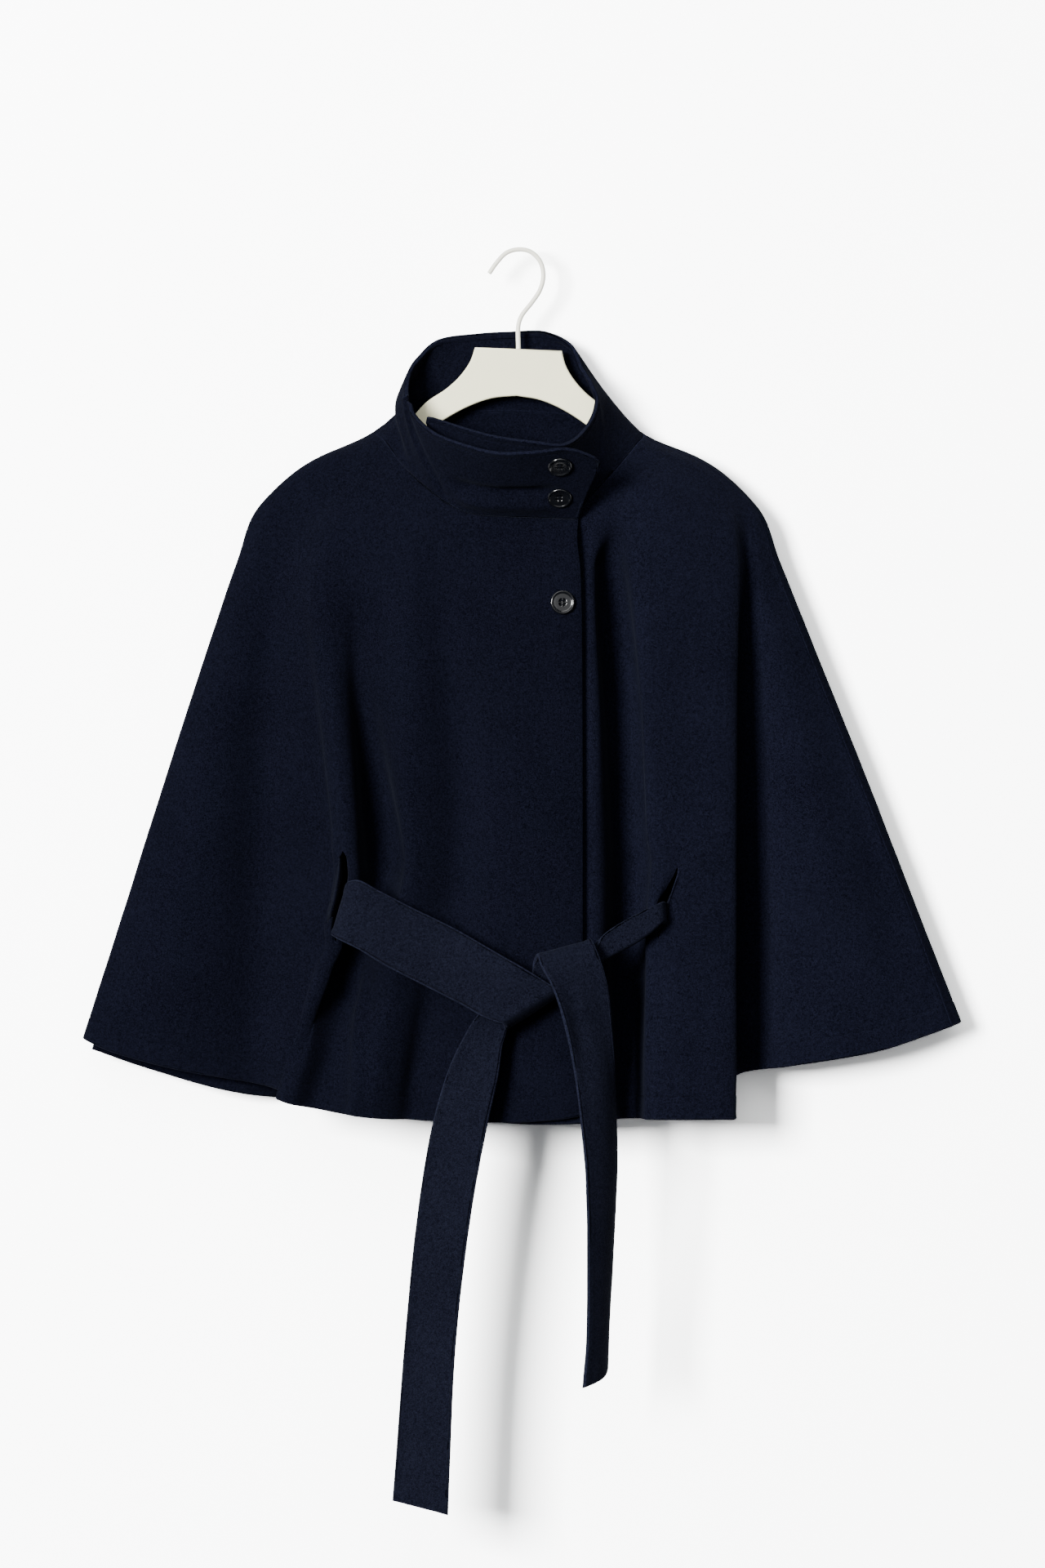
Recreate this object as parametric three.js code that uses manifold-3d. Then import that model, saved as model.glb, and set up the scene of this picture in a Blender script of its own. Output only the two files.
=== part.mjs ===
// A belted wool cape coat on a flat moulded hanger, hung by the hanger's hook.
// Millimetres, +Z up, +X to the viewer's right, and the coat's front faces -Y.
// The origin is the inside of the hook's crown, where a rail or a peg carries it.
// "Depth" is how far a point stands in front of the hanger's middle plane, so depth = -Y.
// Right and left are the wearer's: the right front lies on the viewer's left, over the left front.
import * as THREE from "three";
import { mergeVertices } from "three/addons/utils/BufferGeometryUtils.js";
import Module from "manifold-3d";

const wasm = await Module();
wasm.setup();

// Cloth: a firm wool melton. The collar and the belt are two layers with turned edges.
const PANEL_WALL = 2.4;
const COLLAR_WALL = 3.8;
const BELT_WALL = 4;
const BELT_WIDTH = 55;
const SEAM_GAP = 0.6;
const NECK_GAP = 2;

// The upright line that the collar goes round.
const COLLAR_AXIS = { x: -8, depth: 30 };

// Heights of the measured levels of a panel, from the neck seam down to the hem.
const TIP_Z = -232;
const CHEST_Z = -290;
const WAIST_Z = -588;
const TIP_BELOW_NECK = 20;
const CHEST_BELOW_NECK = 50;
// How far the cloth bows up between the neck seam and the shoulder tip, as a share of its run outwards.
const SHOULDER_BOW = 0.06;

// Rows of a panel's grid, by position among the measured levels: 0 is the neck seam, 1 the shoulder tip,
// 2 the chest, 3 the waist and 4 the hem. SLIT_ROWS are the grid's rows at the ends of the belt's slit.
const ROW_BANDS = [
  { to: 1, rows: 3 },
  { to: 2, rows: 3 },
  { to: 2.88, rows: 6 },
  { to: 3.25, rows: 6 },
  { to: 4, rows: 5 },
];
const SLIT_ROWS = { from: 12, to: 18 };
const LINE_STEPS = 2;

// Buttons, four-hole, with a dished middle inside a raised rim.
const BUTTON = { radius: 11, thick: 3.4, rimHeight: 1, rimWidth: 2.2, holeRadius: 1.1, holeSpread: 2.1 };
const BUTTON_LIFT = 0.4;
const FAR_IN_FRONT = 500;

// Hanger: a flat board with a straight top bar, tilted a little on its hook, and a round wire hook.
const HANGER = { thick: 10, topZ: -90, tilt: 2.2 };
const WIRE_RADIUS = 2.1;
const WIRE_SIDES = 8;
const WIRE_STEPS = 34;

const NAVY = { color: 0x10141f, roughness: 0.95, metalness: 0 };
const HORN = { color: 0x1b2230, roughness: 0.3, metalness: 0 };
const CREAM = { color: 0xdcd8ca, roughness: 0.45, metalness: 0 };

const point = (x, depth, z) => new THREE.Vector3(x, -depth, z);

// The collar from its outer end, over the right front, round the back to its inner end. Each row has a point
// [x, depth, z] of the neck seam (base) and one of the top edge (top), bulge is how far the wall swells
// outwards at half its height, and inset is how far the end that lies underneath is set in.
const COLLAR = [
  { at: "outer end", base: [55, 51, -248], top: [77, 96, -198], bulge: -2, inset: 0 },
  { at: "over the buttons", base: [30, 52, -247], top: [47, 106, -188], bulge: -2, inset: 0 },
  { at: "centre front", base: [2, 52, -246], top: [14, 109, -191], bulge: -3, inset: 0 },
  { at: "front dip", base: [-26, 51, -245], top: [-16, 106, -192], bulge: -3, inset: 0 },
  { at: "front left", base: [-50, 48, -241], top: [-48, 94, -184], bulge: -2, inset: 0 },
  { at: "before the crease", base: [-65, 44, -233], top: [-81, 73, -169], bulge: 0, inset: 0 },
  { at: "crease", base: [-74, 40, -227], top: [-101, 52, -147], bulge: 3, inset: 0 },
  { at: "past the crease", base: [-86, 34, -218], top: [-104, 35, -130], bulge: 6, inset: 0 },
  { at: "side", base: [-106, 24, -199], top: [-102, 23, -115], bulge: 8, inset: 0 },
  { at: "over the arm", base: [-125, 9, -174], top: [-99, 13, -106], bulge: 2, inset: 0 },
  { at: "shoulder", base: [-132, -4, -165], top: [-93, 3, -97], bulge: -2, inset: 0 },
  { at: "back corner", base: [-108, -13, -153], top: [-75, -10, -80], bulge: 3, inset: 0 },
  { at: "back left", base: [-60, -17, -148], top: [-40, -15, -74], bulge: 3, inset: 0 },
  { at: "centre back", base: [-8, -18, -146], top: [-8, -17, -72], bulge: 1, inset: 0 },
  { at: "back right", base: [44, -17, -149], top: [26, -15, -72], bulge: 2, inset: 0 },
  { at: "far back corner", base: [90, -12, -156], top: [49, -6, -84], bulge: 2, inset: 0 },
  { at: "far shoulder", base: [115, -4, -168], top: [58, 7, -104], bulge: -2, inset: 0 },
  { at: "over the far arm", base: [109, 9, -177], top: [63, 15, -112], bulge: -1, inset: 0 },
  { at: "far side", base: [96, 22, -196], top: [71, 25, -123], bulge: 1, inset: 2 },
  { at: "far crease", base: [78, 38, -222], top: [80, 38, -142], bulge: 2, inset: 7 },
  { at: "far front", base: [60, 50, -243], top: [72, 62, -166], bulge: 1, inset: 10 },
  { at: "inner front", base: [32, 52, -247], top: [47, 97, -183], bulge: -2, inset: 9 },
  { at: "inner centre", base: [0, 52, -246], top: [19, 101, -181], bulge: -3, inset: 8 },
  { at: "inner left", base: [-28, 50, -243], top: [-24, 91, -175], bulge: -2, inset: 8 },
  { at: "inner end", base: [-54, 46, -238], top: [-88, 60, -158], bulge: 0, inset: 8 },
];
const SHOULDER_RIGHT = COLLAR.findIndex((row) => row.at === "shoulder");
const SHOULDER_LEFT = COLLAR.findIndex((row) => row.at === "far shoulder");
const COLLAR_ROWS = 5;

// Each panel is measured along lines that run from the neck seam (neck, 0 to 1 along its share of the seam)
// past the shoulder tip, chest and waist levels to the hem. A line follows a ridge, a trough or an edge.
// x and depth are its places at those four levels, and hemZ is the height of its end.
const RIGHT_FRONT = [
  { at: "front edge", neck: 0, x: [54, 57, 59, 58], hemZ: -793, depth: [56, 60, 66, 67] },
  { at: "button line", neck: 0.1, x: [38, 40, 42, 41], hemZ: -796, depth: [57, 62, 68, 69] },
  { at: "centre front", neck: 0.24, x: [4, 4, 4, 2], hemZ: -799, depth: [57, 63, 68, 68] },
  { at: "chest", neck: 0.38, x: [-32, -32, -28, -42], hemZ: -799, depth: [55, 61, 65, 66] },
  { at: "soft trough", neck: 0.5, x: [-66, -68, -58, -96], hemZ: -798, depth: [51, 56, 55, 48] },
  { at: "front ridge", neck: 0.6, x: [-94, -100, -108, -138], hemZ: -795, depth: [47, 55, 64, 66] },
  { at: "deep trough", neck: 0.66, x: [-120, -142, -132, -188], hemZ: -787, depth: [42, 45, 26, 46] },
  { at: "slit ridge", neck: 0.72, x: [-146, -172, -150, -208], hemZ: -783, depth: [35, 42, 57, 60] },
  { at: "belt slit", neck: 0.75, x: [-156, -180, -162, -217], hemZ: -780, depth: [31, 40, 57, 60] },
  { at: "fold edge", neck: 0.78, x: [-166, -188, -172, -225], hemZ: -777, depth: [27, 37, 50, 53] },
  { at: "tuck", neck: 0.82, x: [-178, -199, -171, -214], hemZ: -775, depth: [21, 29, 32, 34] },
  { at: "wing hollow", neck: 0.86, x: [-194, -216, -232, -240], hemZ: -767, depth: [16, 18, 13, 12] },
  { at: "wing", neck: 0.9, x: [-210, -232, -290, -319], hemZ: -752, depth: [12, 14, 19, 18] },
  { at: "wing outside", neck: 0.94, x: [-226, -248, -337, -380], hemZ: -735, depth: [8, 10, 13, 13] },
  { at: "wing edge", neck: 0.97, x: [-237, -261, -358, -402], hemZ: -725, depth: [0, 0, 0, 0] },
  { at: "arm seam", neck: 1, x: [-234, -256, -350, -394], hemZ: -728, depth: [-7, -7, -7, -7] },
];
const LEFT_FRONT = [
  { at: "arm seam", neck: 0, x: [215, 236, 353, 399], hemZ: -714, depth: [3, 5, 7, 7] },
  { at: "wing", neck: 0.02, x: [212, 224, 294, 332], hemZ: -736, depth: [6, 12, 20, 20] },
  { at: "wing rise", neck: 0.04, x: [208, 216, 240, 250], hemZ: -750, depth: [8, 14, 18, 20] },
  { at: "deep trough", neck: 0.07, x: [202, 209, 206, 206], hemZ: -757, depth: [12, 15, 9, 10] },
  { at: "tuck", neck: 0.1, x: [196, 204, 190, 182], hemZ: -776, depth: [16, 24, 30, 30] },
  { at: "fold edge", neck: 0.13, x: [189, 202, 202, 201], hemZ: -796, depth: [20, 34, 50, 55] },
  { at: "panel right", neck: 0.2, x: [168, 180, 184, 184], hemZ: -797, depth: [29, 42, 58, 62] },
  { at: "belt slit", neck: 0.3, x: [132, 140, 131, 146], hemZ: -797, depth: [40, 51, 62, 64] },
  { at: "panel brink", neck: 0.4, x: [102, 106, 113, 117], hemZ: -797, depth: [44, 52, 60, 60] },
  { at: "front trough", neck: 0.48, x: [84, 85, 97, 99], hemZ: -797, depth: [42, 36, 27, 36] },
  { at: "front strip", neck: 0.56, x: [68, 70, 74, 77], hemZ: -799, depth: [46, 51, 57, 59] },
  { at: "under the edge", neck: 0.64, x: [50, 52, 54, 54], hemZ: -801, depth: [45, 50, 58, 59] },
  { at: "under centre", neck: 0.82, x: [0, 0, 0, 0], hemZ: -801, depth: [46, 53, 59, 59] },
  { at: "underlap edge", neck: 1, x: [-54, -52, -44, -50], hemZ: -796, depth: [42, 49, 52, 51] },
];
// The back runs from the left shoulder to the right one, so that its outside faces the wall.
const BACK = [
  { at: "left arm seam", neck: 1, x: [215, 236, 353, 399], hemZ: -714, depth: [3, 5, 7, 7] },
  { at: "left wing edge", neck: 0.98, x: [218, 243, 361, 408], hemZ: -710, depth: [-2, -1, -1, -1] },
  { at: "left wing", neck: 0.93, x: [200, 223, 308, 348], hemZ: -724, depth: [-11, -12, -15, -14] },
  { at: "left hollow", neck: 0.84, x: [168, 184, 238, 252], hemZ: -744, depth: [-15, -15, -8, -6] },
  { at: "left ridge", neck: 0.74, x: [124, 134, 160, 170], hemZ: -765, depth: [-18, -22, -27, -28] },
  { at: "left trough", neck: 0.63, x: [76, 82, 92, 98], hemZ: -780, depth: [-20, -21, -15, -12] },
  { at: "centre back", neck: 0.5, x: [-8, -8, -8, -8], hemZ: -788, depth: [-22, -24, -26, -26] },
  { at: "right trough", neck: 0.37, x: [-92, -96, -104, -110], hemZ: -787, depth: [-20, -21, -14, -12] },
  { at: "right ridge", neck: 0.26, x: [-140, -148, -172, -186], hemZ: -783, depth: [-18, -22, -27, -28] },
  { at: "right hollow", neck: 0.16, x: [-184, -200, -244, -262], hemZ: -775, depth: [-15, -15, -10, -9] },
  { at: "right wing", neck: 0.07, x: [-218, -238, -314, -347], hemZ: -752, depth: [-11, -13, -15, -15] },
  { at: "right arm seam", neck: 0, x: [-234, -256, -350, -394], hemZ: -735, depth: [-7, -7, -7, -7] },
];

// The belt's stretches, each by points [x, depth, z] of its two edges: a is the upper or viewer's left edge,
// b the other one.
const BELT_LEFT_RUN = [
  { a: [-149, 40, -573], b: [-159, 40, -627] },
  { a: [-159, 54, -575], b: [-168, 55, -629] },
  { a: [-151, 70, -577], b: [-162, 70, -632] },
  { a: [-128, 75, -587], b: [-146, 77, -641] },
  { a: [-96, 77, -603], b: [-123, 80, -655] },
  { a: [-59, 80, -621], b: [-88, 83, -673] },
  { a: [-20, 89, -643], b: [-50, 91, -692] },
  { a: [8, 95, -659], b: [-34, 96, -701] },
  { a: [26, 96, -670], b: [-22, 97, -706] },
  { a: [36, 96, -676], b: [-15, 97, -708] },
];
const BELT_RIGHT_RUN = [
  { a: [126, 42, -594], b: [127, 42, -624] },
  { a: [135, 56, -598], b: [135, 58, -618] },
  { a: [130, 75, -598], b: [132, 77, -614] },
  { a: [110, 78, -607], b: [112, 80, -629] },
  { a: [78, 83, -627], b: [76, 84, -650] },
  { a: [69, 87, -641], b: [66, 88, -660] },
  { a: [54, 88, -649], b: [50, 88, -671] },
  { a: [34, 88, -657], b: [26, 88, -681] },
  { a: [6, 88, -670], b: [-4, 88, -693] },
];
const BELT_LONG_TAIL = [
  { a: [1.2, 88, -673.3], b: [-9.2, 88, -695.9] },
  { a: [-14, 86.5, -682], b: [-15, 86.5, -703] },
  { a: [-37, 84, -700], b: [-21, 86, -713] },
  { a: [-52, 81, -724], b: [-18, 87, -728] },
  { a: [-64, 80, -750], b: [-18, 90, -754] },
  { a: [-80, 80, -806], b: [-30, 94, -808] },
  { a: [-93, 80, -886], b: [-44, 97, -886] },
  { a: [-104, 80, -996], b: [-57, 98, -996] },
  { a: [-111, 82, -1090], b: [-62, 97, -1098] },
  { a: [-115, 84, -1142], b: [-64, 96, -1154] },
];
const BELT_TURN = [
  { a: [-14.4, 97, -709.4], b: [36.7, 96, -677.4] },
  { a: [-12, 88, -714], b: [39, 87, -682] },
  { a: [-12, 76, -711], b: [40, 76, -680] },
  { a: [0, 73, -684], b: [52, 73, -668] },
  { a: [11.5, 73, -664], b: [64, 73, -660] },
];
const BELT_SHORT_TAIL = [
  { a: [11.8, 73, -663], b: [64.2, 73, -659] },
  { a: [13, 73.5, -653], b: [65.5, 73.5, -643] },
  { a: [15, 80, -647], b: [66, 79, -634] },
  { a: [17, 93, -646], b: [67, 92, -631.5] },
  { a: [20, 103, -655], b: [72, 99, -642] },
  { a: [30, 108, -673], b: [81, 98, -671] },
  { a: [44, 108, -716], b: [86, 86, -714] },
  { a: [55, 107, -784], b: [89, 78, -778] },
  { a: [61, 106, -850], b: [90, 66, -842] },
  { a: [63, 105, -930], b: [86, 60, -920] },
  { a: [62, 104, -1000], b: [82, 56, -990] },
  { a: [59, 104, -1038], b: [81, 58, -1024] },
];
const BELT_INSIDE_RUN = [
  { a: [-149, 39.5, -573], b: [-159, 39.5, -627] },
  { a: [-150, 14, -572], b: [-154, 14, -627] },
  { a: [-120, -4, -570], b: [-120, -4, -626] },
  { a: [-60, -6, -570], b: [-60, -6, -626] },
  { a: [0, -9, -570], b: [0, -9, -626] },
  { a: [70, -4, -570], b: [70, -4, -626] },
  { a: [116, 0, -571], b: [116, 0, -625] },
  { a: [127, 14, -574], b: [128, 14, -628] },
  { a: [126, 41.5, -580], b: [127, 41.5, -628] },
];
const BELT_STEPS = 2;
const FOLD_DEPTH = 9.5;

// The hanger board's outline to one side of its middle, from the top bar's middle round the arm and back.
const HANGER_TOP = [
  { x: 40, z: 0 },
  { x: 44, z: -13 },
  { x: 53, z: -27 },
  { x: 65, z: -39 },
  { x: 84, z: -53 },
  { x: 106, z: -79.4 },
  { x: 132, z: -95.4 },
  { x: 160, z: -111.3 },
  { x: 190, z: -129.2 },
  { x: 202, z: -141.8 },
];
const HANGER_UNDER = [
  { x: 197, z: -152 },
  { x: 172, z: -141 },
  { x: 140, z: -123 },
  { x: 104, z: -99 },
  { x: 72, z: -72 },
  { x: 45, z: -55 },
  { x: 22, z: -46 },
  { x: 0, z: -43 },
];
// The hook's centre line from the board up to its open tip.
const HOOK = [
  { x: 0, z: -89.6 },
  { x: 0, z: -68 },
  { x: 3, z: -59 },
  { x: 13, z: -46 },
  { x: 20, z: -35 },
  { x: 23, z: -22 },
  { x: 20, z: -9 },
  { x: 11, z: 0 },
  { x: 0, z: 2.1 },
  { x: -11, z: -1 },
  { x: -20, z: -10 },
  { x: -27, z: -20 },
];

// A smooth curve through points, read by a position that counts them: 0 is the first and 1.5 lies
// half way between the second and the third.
function curveThrough(points) {
  const curve = new THREE.CatmullRomCurve3(points, false, "centripetal");
  return (position) => curve.getPoint(position / (points.length - 1));
}

// Positions from 0 to the last band's end, evenly spaced within each band.
function positionsIn(bands) {
  const list = [0];
  for (const { to, rows } of bands) {
    const from = list[list.length - 1];
    for (let k = 1; k <= rows; k += 1) list.push(from + ((to - from) * k) / rows);
  }
  return list;
}

// Positions along a table of rows, with the same number of steps between each two of them.
const stepsAlong = (rows, steps) => positionsIn([{ to: rows.length - 1, rows: (rows.length - 1) * steps }]);

// A closed wall from a grid of outside points: an inside sheet set back by the wall, and a rim along every
// open edge. slit names grid columns and rows whose points are doubled, so that the cloth is cut there.
function wallSolid(grid, wall, { slit = null, seams = [] } = {}) {
  const rowCount = grid.length;
  const columnCount = grid[0].length;
  const outside = grid.flat().map((p) => p.clone());
  const index = (row, column) => row * columnCount + column;
  const doubled = new Map();
  if (slit) {
    for (let row = slit.from + 1; row < slit.to; row += 1) {
      doubled.set(index(row, slit.column), outside.length);
      outside.push(outside[index(row, slit.column)].clone());
    }
  }
  // A point as a quad on the far side of the slit sees it.
  const seenFrom = (row, column, quadColumn) => {
    const own = index(row, column);
    const isFar = slit && column === slit.column && quadColumn === slit.column && doubled.has(own);
    return isFar ? doubled.get(own) : own;
  };
  const faces = [];
  for (let row = 0; row < rowCount - 1; row += 1) {
    for (let column = 0; column < columnCount - 1; column += 1) {
      const a = seenFrom(row, column, column);
      const b = seenFrom(row, column + 1, column);
      const c = seenFrom(row + 1, column + 1, column);
      const d = seenFrom(row + 1, column, column);
      faces.push([a, d, b], [b, d, c]);
    }
  }
  const normals = outside.map(() => new THREE.Vector3());
  for (const [a, b, c] of faces) {
    const edge = new THREE.Vector3().subVectors(outside[b], outside[a]);
    const normal = new THREE.Vector3().subVectors(outside[c], outside[a]);
    normal.crossVectors(edge, normal);
    for (const corner of [a, b, c]) normals[corner].add(normal);
  }
  normals.forEach((normal) => normal.normalize());
  if (slit) slit.open(outside, normals, doubled);
  for (const { column, outward } of seams) {
    outward.forEach((normal, row) => normals[index(row, column)].copy(normal));
  }
  const inside = outside.map((p, i) => p.clone().addScaledVector(normals[i], -wall));
  const points = [...outside, ...inside];
  const shift = outside.length;
  const closed = [...faces, ...faces.map(([a, b, c]) => [a + shift, c + shift, b + shift])];
  const edges = new Map();
  for (const [a, b, c] of faces) {
    for (const [from, to] of [[a, b], [b, c], [c, a]]) edges.set(`${from},${to}`, [from, to]);
  }
  for (const [from, to] of edges.values()) {
    if (edges.has(`${to},${from}`)) continue;
    const isDown = outside[from].z > outside[to].z;
    const [upper, lower] = isDown ? [from, to] : [to, from];
    closed.push([to, from, lower + shift], [upper, from + shift, to + shift]);
  }
  const geometry = new THREE.BufferGeometry();
  geometry.setAttribute("position", new THREE.Float32BufferAttribute(points.flatMap((p) => p.toArray()), 3));
  geometry.setIndex(closed.flat());
  return geometry;
}

// Collar: base and top point of each row, and the wall between them.
function collarRings() {
  const pushIn = (p, inset) => {
    const away = new THREE.Vector3(p.x - COLLAR_AXIS.x, p.y + COLLAR_AXIS.depth, 0).normalize();
    return p.addScaledVector(away, -inset);
  };
  const base = COLLAR.map((row) => pushIn(point(...row.base), row.inset));
  const top = COLLAR.map((row) => pushIn(point(...row.top), row.inset));
  const bulge = COLLAR.map((row) => new THREE.Vector3(row.bulge, 0, 0));
  return { base: curveThrough(base), top: curveThrough(top), bulge: curveThrough(bulge) };
}
const RINGS = collarRings();

// A point of the collar's outside: along counts the collar's rows, and up runs from 0 at the seam to 1 at
// the edge.
function collarPoint(along, up) {
  const base = RINGS.base(along);
  const p = base.clone().lerp(RINGS.top(along), up);
  const away = new THREE.Vector3(p.x - COLLAR_AXIS.x, p.y + COLLAR_AXIS.depth, 0).normalize();
  p.addScaledVector(away, RINGS.bulge(along).x * 4 * up * (1 - up));
  p.z += NECK_GAP * (1 - up);
  return p;
}

function collarSolid() {
  const along = stepsAlong(COLLAR, LINE_STEPS);
  const grid = [];
  for (let row = 0; row <= COLLAR_ROWS; row += 1) {
    grid.push(along.map((position) => collarPoint(position, 1 - row / COLLAR_ROWS)));
  }
  return wallSolid(grid.map((row) => row.slice().reverse()), COLLAR_WALL);
}

// The level points of one measured line, as a curve from the neck seam to the hem.
function panelLine(row, neckAt) {
  const neck = neckAt(row.neck);
  const tipZ = Math.min(TIP_Z, neck.z - TIP_BELOW_NECK);
  const chestZ = Math.min(CHEST_Z, neck.z - CHEST_BELOW_NECK);
  const levels = [tipZ, chestZ, WAIST_Z, row.hemZ];
  const line = curveThrough([neck, ...levels.map((z, i) => point(row.x[i], row.depth[i], z))]);
  const bow = SHOULDER_BOW * Math.abs(row.x[0] - neck.x);
  return (position) => {
    const p = line(position);
    p.z += bow * Math.sin(Math.PI * Math.min(position, 1)) ** 2;
    return p;
  };
}

// The grid of a panel's outside points, one row for each height and one column for each line or step between.
function panelGrid(lines, neckAt) {
  const curves = lines.map((row) => panelLine(row, neckAt));
  const columns = stepsAlong(lines, LINE_STEPS);
  return positionsIn(ROW_BANDS).map((height) => {
    const across = curveThrough(curves.map((curve) => curve(height)));
    return columns.map((column) => across(column));
  });
}

// A panel's share of the neck seam, from the collar row first to the row last.
const neckShare = (first, last) => (share) => RINGS.base(first + (last - first) * share);

// The cut for the belt, along the panel's "belt slit" line, opened by the belt that pulls through it.
function beltSlit(lines, { width, push }) {
  const column = lines.findIndex((row) => row.at === "belt slit") * LINE_STEPS;
  const open = (outside, normals, doubled) => {
    const count = doubled.size + 1;
    [...doubled].forEach(([near, far], i) => {
      const swell = Math.sqrt(Math.sin((Math.PI * (i + 1)) / count));
      outside[near].x -= (width * swell) / 2;
      outside[far].x += (width * swell) / 2;
      outside[push > 0 ? far : near].y += Math.abs(push) * swell;
    });
  };
  return { ...SLIT_ROWS, column, open };
}

// The panels' grids. A front's lines are read in reverse, so that every panel runs the same way round the
// coat.
const RIGHT_LINES = [...RIGHT_FRONT].reverse();
const LEFT_LINES = [...LEFT_FRONT].reverse();
const RIGHT_GRID = panelGrid(RIGHT_LINES, neckShare(0, SHOULDER_RIGHT));
const LEFT_GRID = panelGrid(LEFT_LINES, neckShare(SHOULDER_LEFT, COLLAR.length - 1));
const BACK_GRID = panelGrid(BACK, neckShare(SHOULDER_RIGHT, SHOULDER_LEFT));
const LAST = { left: LEFT_GRID[0].length - 1, back: BACK_GRID[0].length - 1 };

// Outward directions along the seam that a front shares with the back, from the cloth on both sides of it.
// side is 1 for the right front and -1 for the left front.
function seamOutward(front, back, side) {
  return front.grid.map((row, i) => {
    const above = front.grid[Math.max(i - 1, 0)][front.column];
    const below = front.grid[Math.min(i + 1, front.grid.length - 1)][front.column];
    const down = new THREE.Vector3().subVectors(below, above);
    const across = new THREE.Vector3().subVectors(row[front.next], back.grid[i][back.next]);
    return down.cross(across).multiplyScalar(side).normalize();
  });
}
const RIGHT_SEAM = seamOutward(
  { grid: RIGHT_GRID, column: 0, next: 1 },
  { grid: BACK_GRID, next: LAST.back - 1 },
  1,
);
const LEFT_SEAM = seamOutward(
  { grid: LEFT_GRID, column: LAST.left, next: LAST.left - 1 },
  { grid: BACK_GRID, next: 1 },
  -1,
);

// Moves the grid's seam column away from the seam by half its gap, towards the panel's next column.
function easeSeam(grid, column, next) {
  for (const row of grid) {
    const away = new THREE.Vector3().subVectors(row[next], row[column]).normalize();
    row[column].addScaledVector(away, SEAM_GAP / 2);
  }
}
easeSeam(RIGHT_GRID, 0, 1);
easeSeam(LEFT_GRID, LAST.left, LAST.left - 1);
easeSeam(BACK_GRID, 0, 1);
easeSeam(BACK_GRID, LAST.back, LAST.back - 1);

const rightFrontSolid = () =>
  wallSolid(RIGHT_GRID, PANEL_WALL, {
    slit: beltSlit(RIGHT_LINES, { width: 13, push: -3 }),
    seams: [0, 1].map((column) => ({ column, outward: RIGHT_SEAM })),
  });

const leftFrontSolid = () =>
  wallSolid(LEFT_GRID, PANEL_WALL, {
    slit: beltSlit(LEFT_LINES, { width: 15, push: 3 }),
    seams: [{ column: LAST.left, outward: LEFT_SEAM }],
  });

const backSolid = () =>
  wallSolid(BACK_GRID, PANEL_WALL, {
    seams: [
      { column: 0, outward: LEFT_SEAM },
      { column: LAST.back, outward: RIGHT_SEAM },
    ],
  });

// A stretch of the belt, from its two edges. Where it is folded lengthwise, the width that doesn't show
// lies turned under behind edge b.
function beltSolid(rows, { folded = false } = {}) {
  const a = curveThrough(rows.map((row) => point(...row.a)));
  const b = curveThrough(rows.map((row) => point(...row.b)));
  const grid = stepsAlong(rows, BELT_STEPS).map((position) => {
    const from = a(position);
    const to = b(position);
    const section = [0, 0.5, 1].map((share) => from.clone().lerp(to, share));
    if (!folded) return section;
    const step = 0.01;
    const along = a(Math.min(position + step, rows.length - 1)).sub(a(Math.max(position - step, 0)));
    const across = new THREE.Vector3().subVectors(to, from);
    const shown = across.length();
    across.normalize();
    const behind = new THREE.Vector3().crossVectors(across, along).normalize().multiplyScalar(FOLD_DEPTH);
    const under = Math.min(BELT_WIDTH - shown, shown * 0.9);
    const turned = to.clone().add(behind);
    return [...section, turned, turned.clone().addScaledVector(across, -under)];
  });
  return wallSolid(grid, BELT_WALL);
}

const manifoldOf = (geometry) => {
  const bare = geometry.clone();
  bare.deleteAttribute("normal");
  bare.deleteAttribute("uv");
  const merged = mergeVertices(bare, 1e-3);
  return new wasm.Manifold(
    new wasm.Mesh({
      numProp: 3,
      vertProperties: merged.attributes.position.array,
      triVerts: new Uint32Array(merged.index.array),
    }),
  );
};

const geometryOf = (solid) => {
  const mesh = solid.getMesh();
  const geometry = new THREE.BufferGeometry();
  geometry.setAttribute("position", new THREE.BufferAttribute(mesh.vertProperties, 3));
  geometry.setIndex(new THREE.BufferAttribute(mesh.triVerts, 1));
  return geometry;
};

// A button about its own Z axis, its back face at 0.
function buttonSolid() {
  const { radius, thick, rimHeight, rimWidth, holeRadius, holeSpread } = BUTTON;
  const profile = [
    [0, 0],
    [radius * 0.8, 0],
    [radius, thick * 0.45],
    [radius, thick * 0.8],
    [radius - rimWidth * 0.45, thick],
    [radius - rimWidth, thick - rimHeight],
    [0, thick - rimHeight * 1.2],
  ].map(([r, z]) => new THREE.Vector2(r, z));
  const disc = new THREE.LatheGeometry(profile, 24).rotateX(Math.PI / 2);
  let solid = manifoldOf(disc);
  for (const [sx, sy] of [[1, 1], [1, -1], [-1, 1], [-1, -1]]) {
    const drill = new THREE.CylinderGeometry(holeRadius, holeRadius, thick * 3, 6).rotateX(Math.PI / 2);
    drill.translate((sx * holeSpread) / Math.SQRT2, (sy * holeSpread) / Math.SQRT2, 0);
    solid = solid.subtract(manifoldOf(drill));
  }
  return geometryOf(solid);
}

function hangerSolid() {
  const half = [...HANGER_TOP, ...HANGER_UNDER];
  const mirrored = half.slice(0, -1).reverse().map(({ x, z }) => ({ x: -x, z }));
  const outline = [...half, ...mirrored].map(({ x, z }) => new THREE.Vector2(x, z));
  const shape = new THREE.Shape(outline);
  const board = new THREE.ExtrudeGeometry(shape, { depth: HANGER.thick, bevelEnabled: false });
  return board.rotateX(Math.PI / 2).translate(0, HANGER.thick / 2, 0);
}

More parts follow.
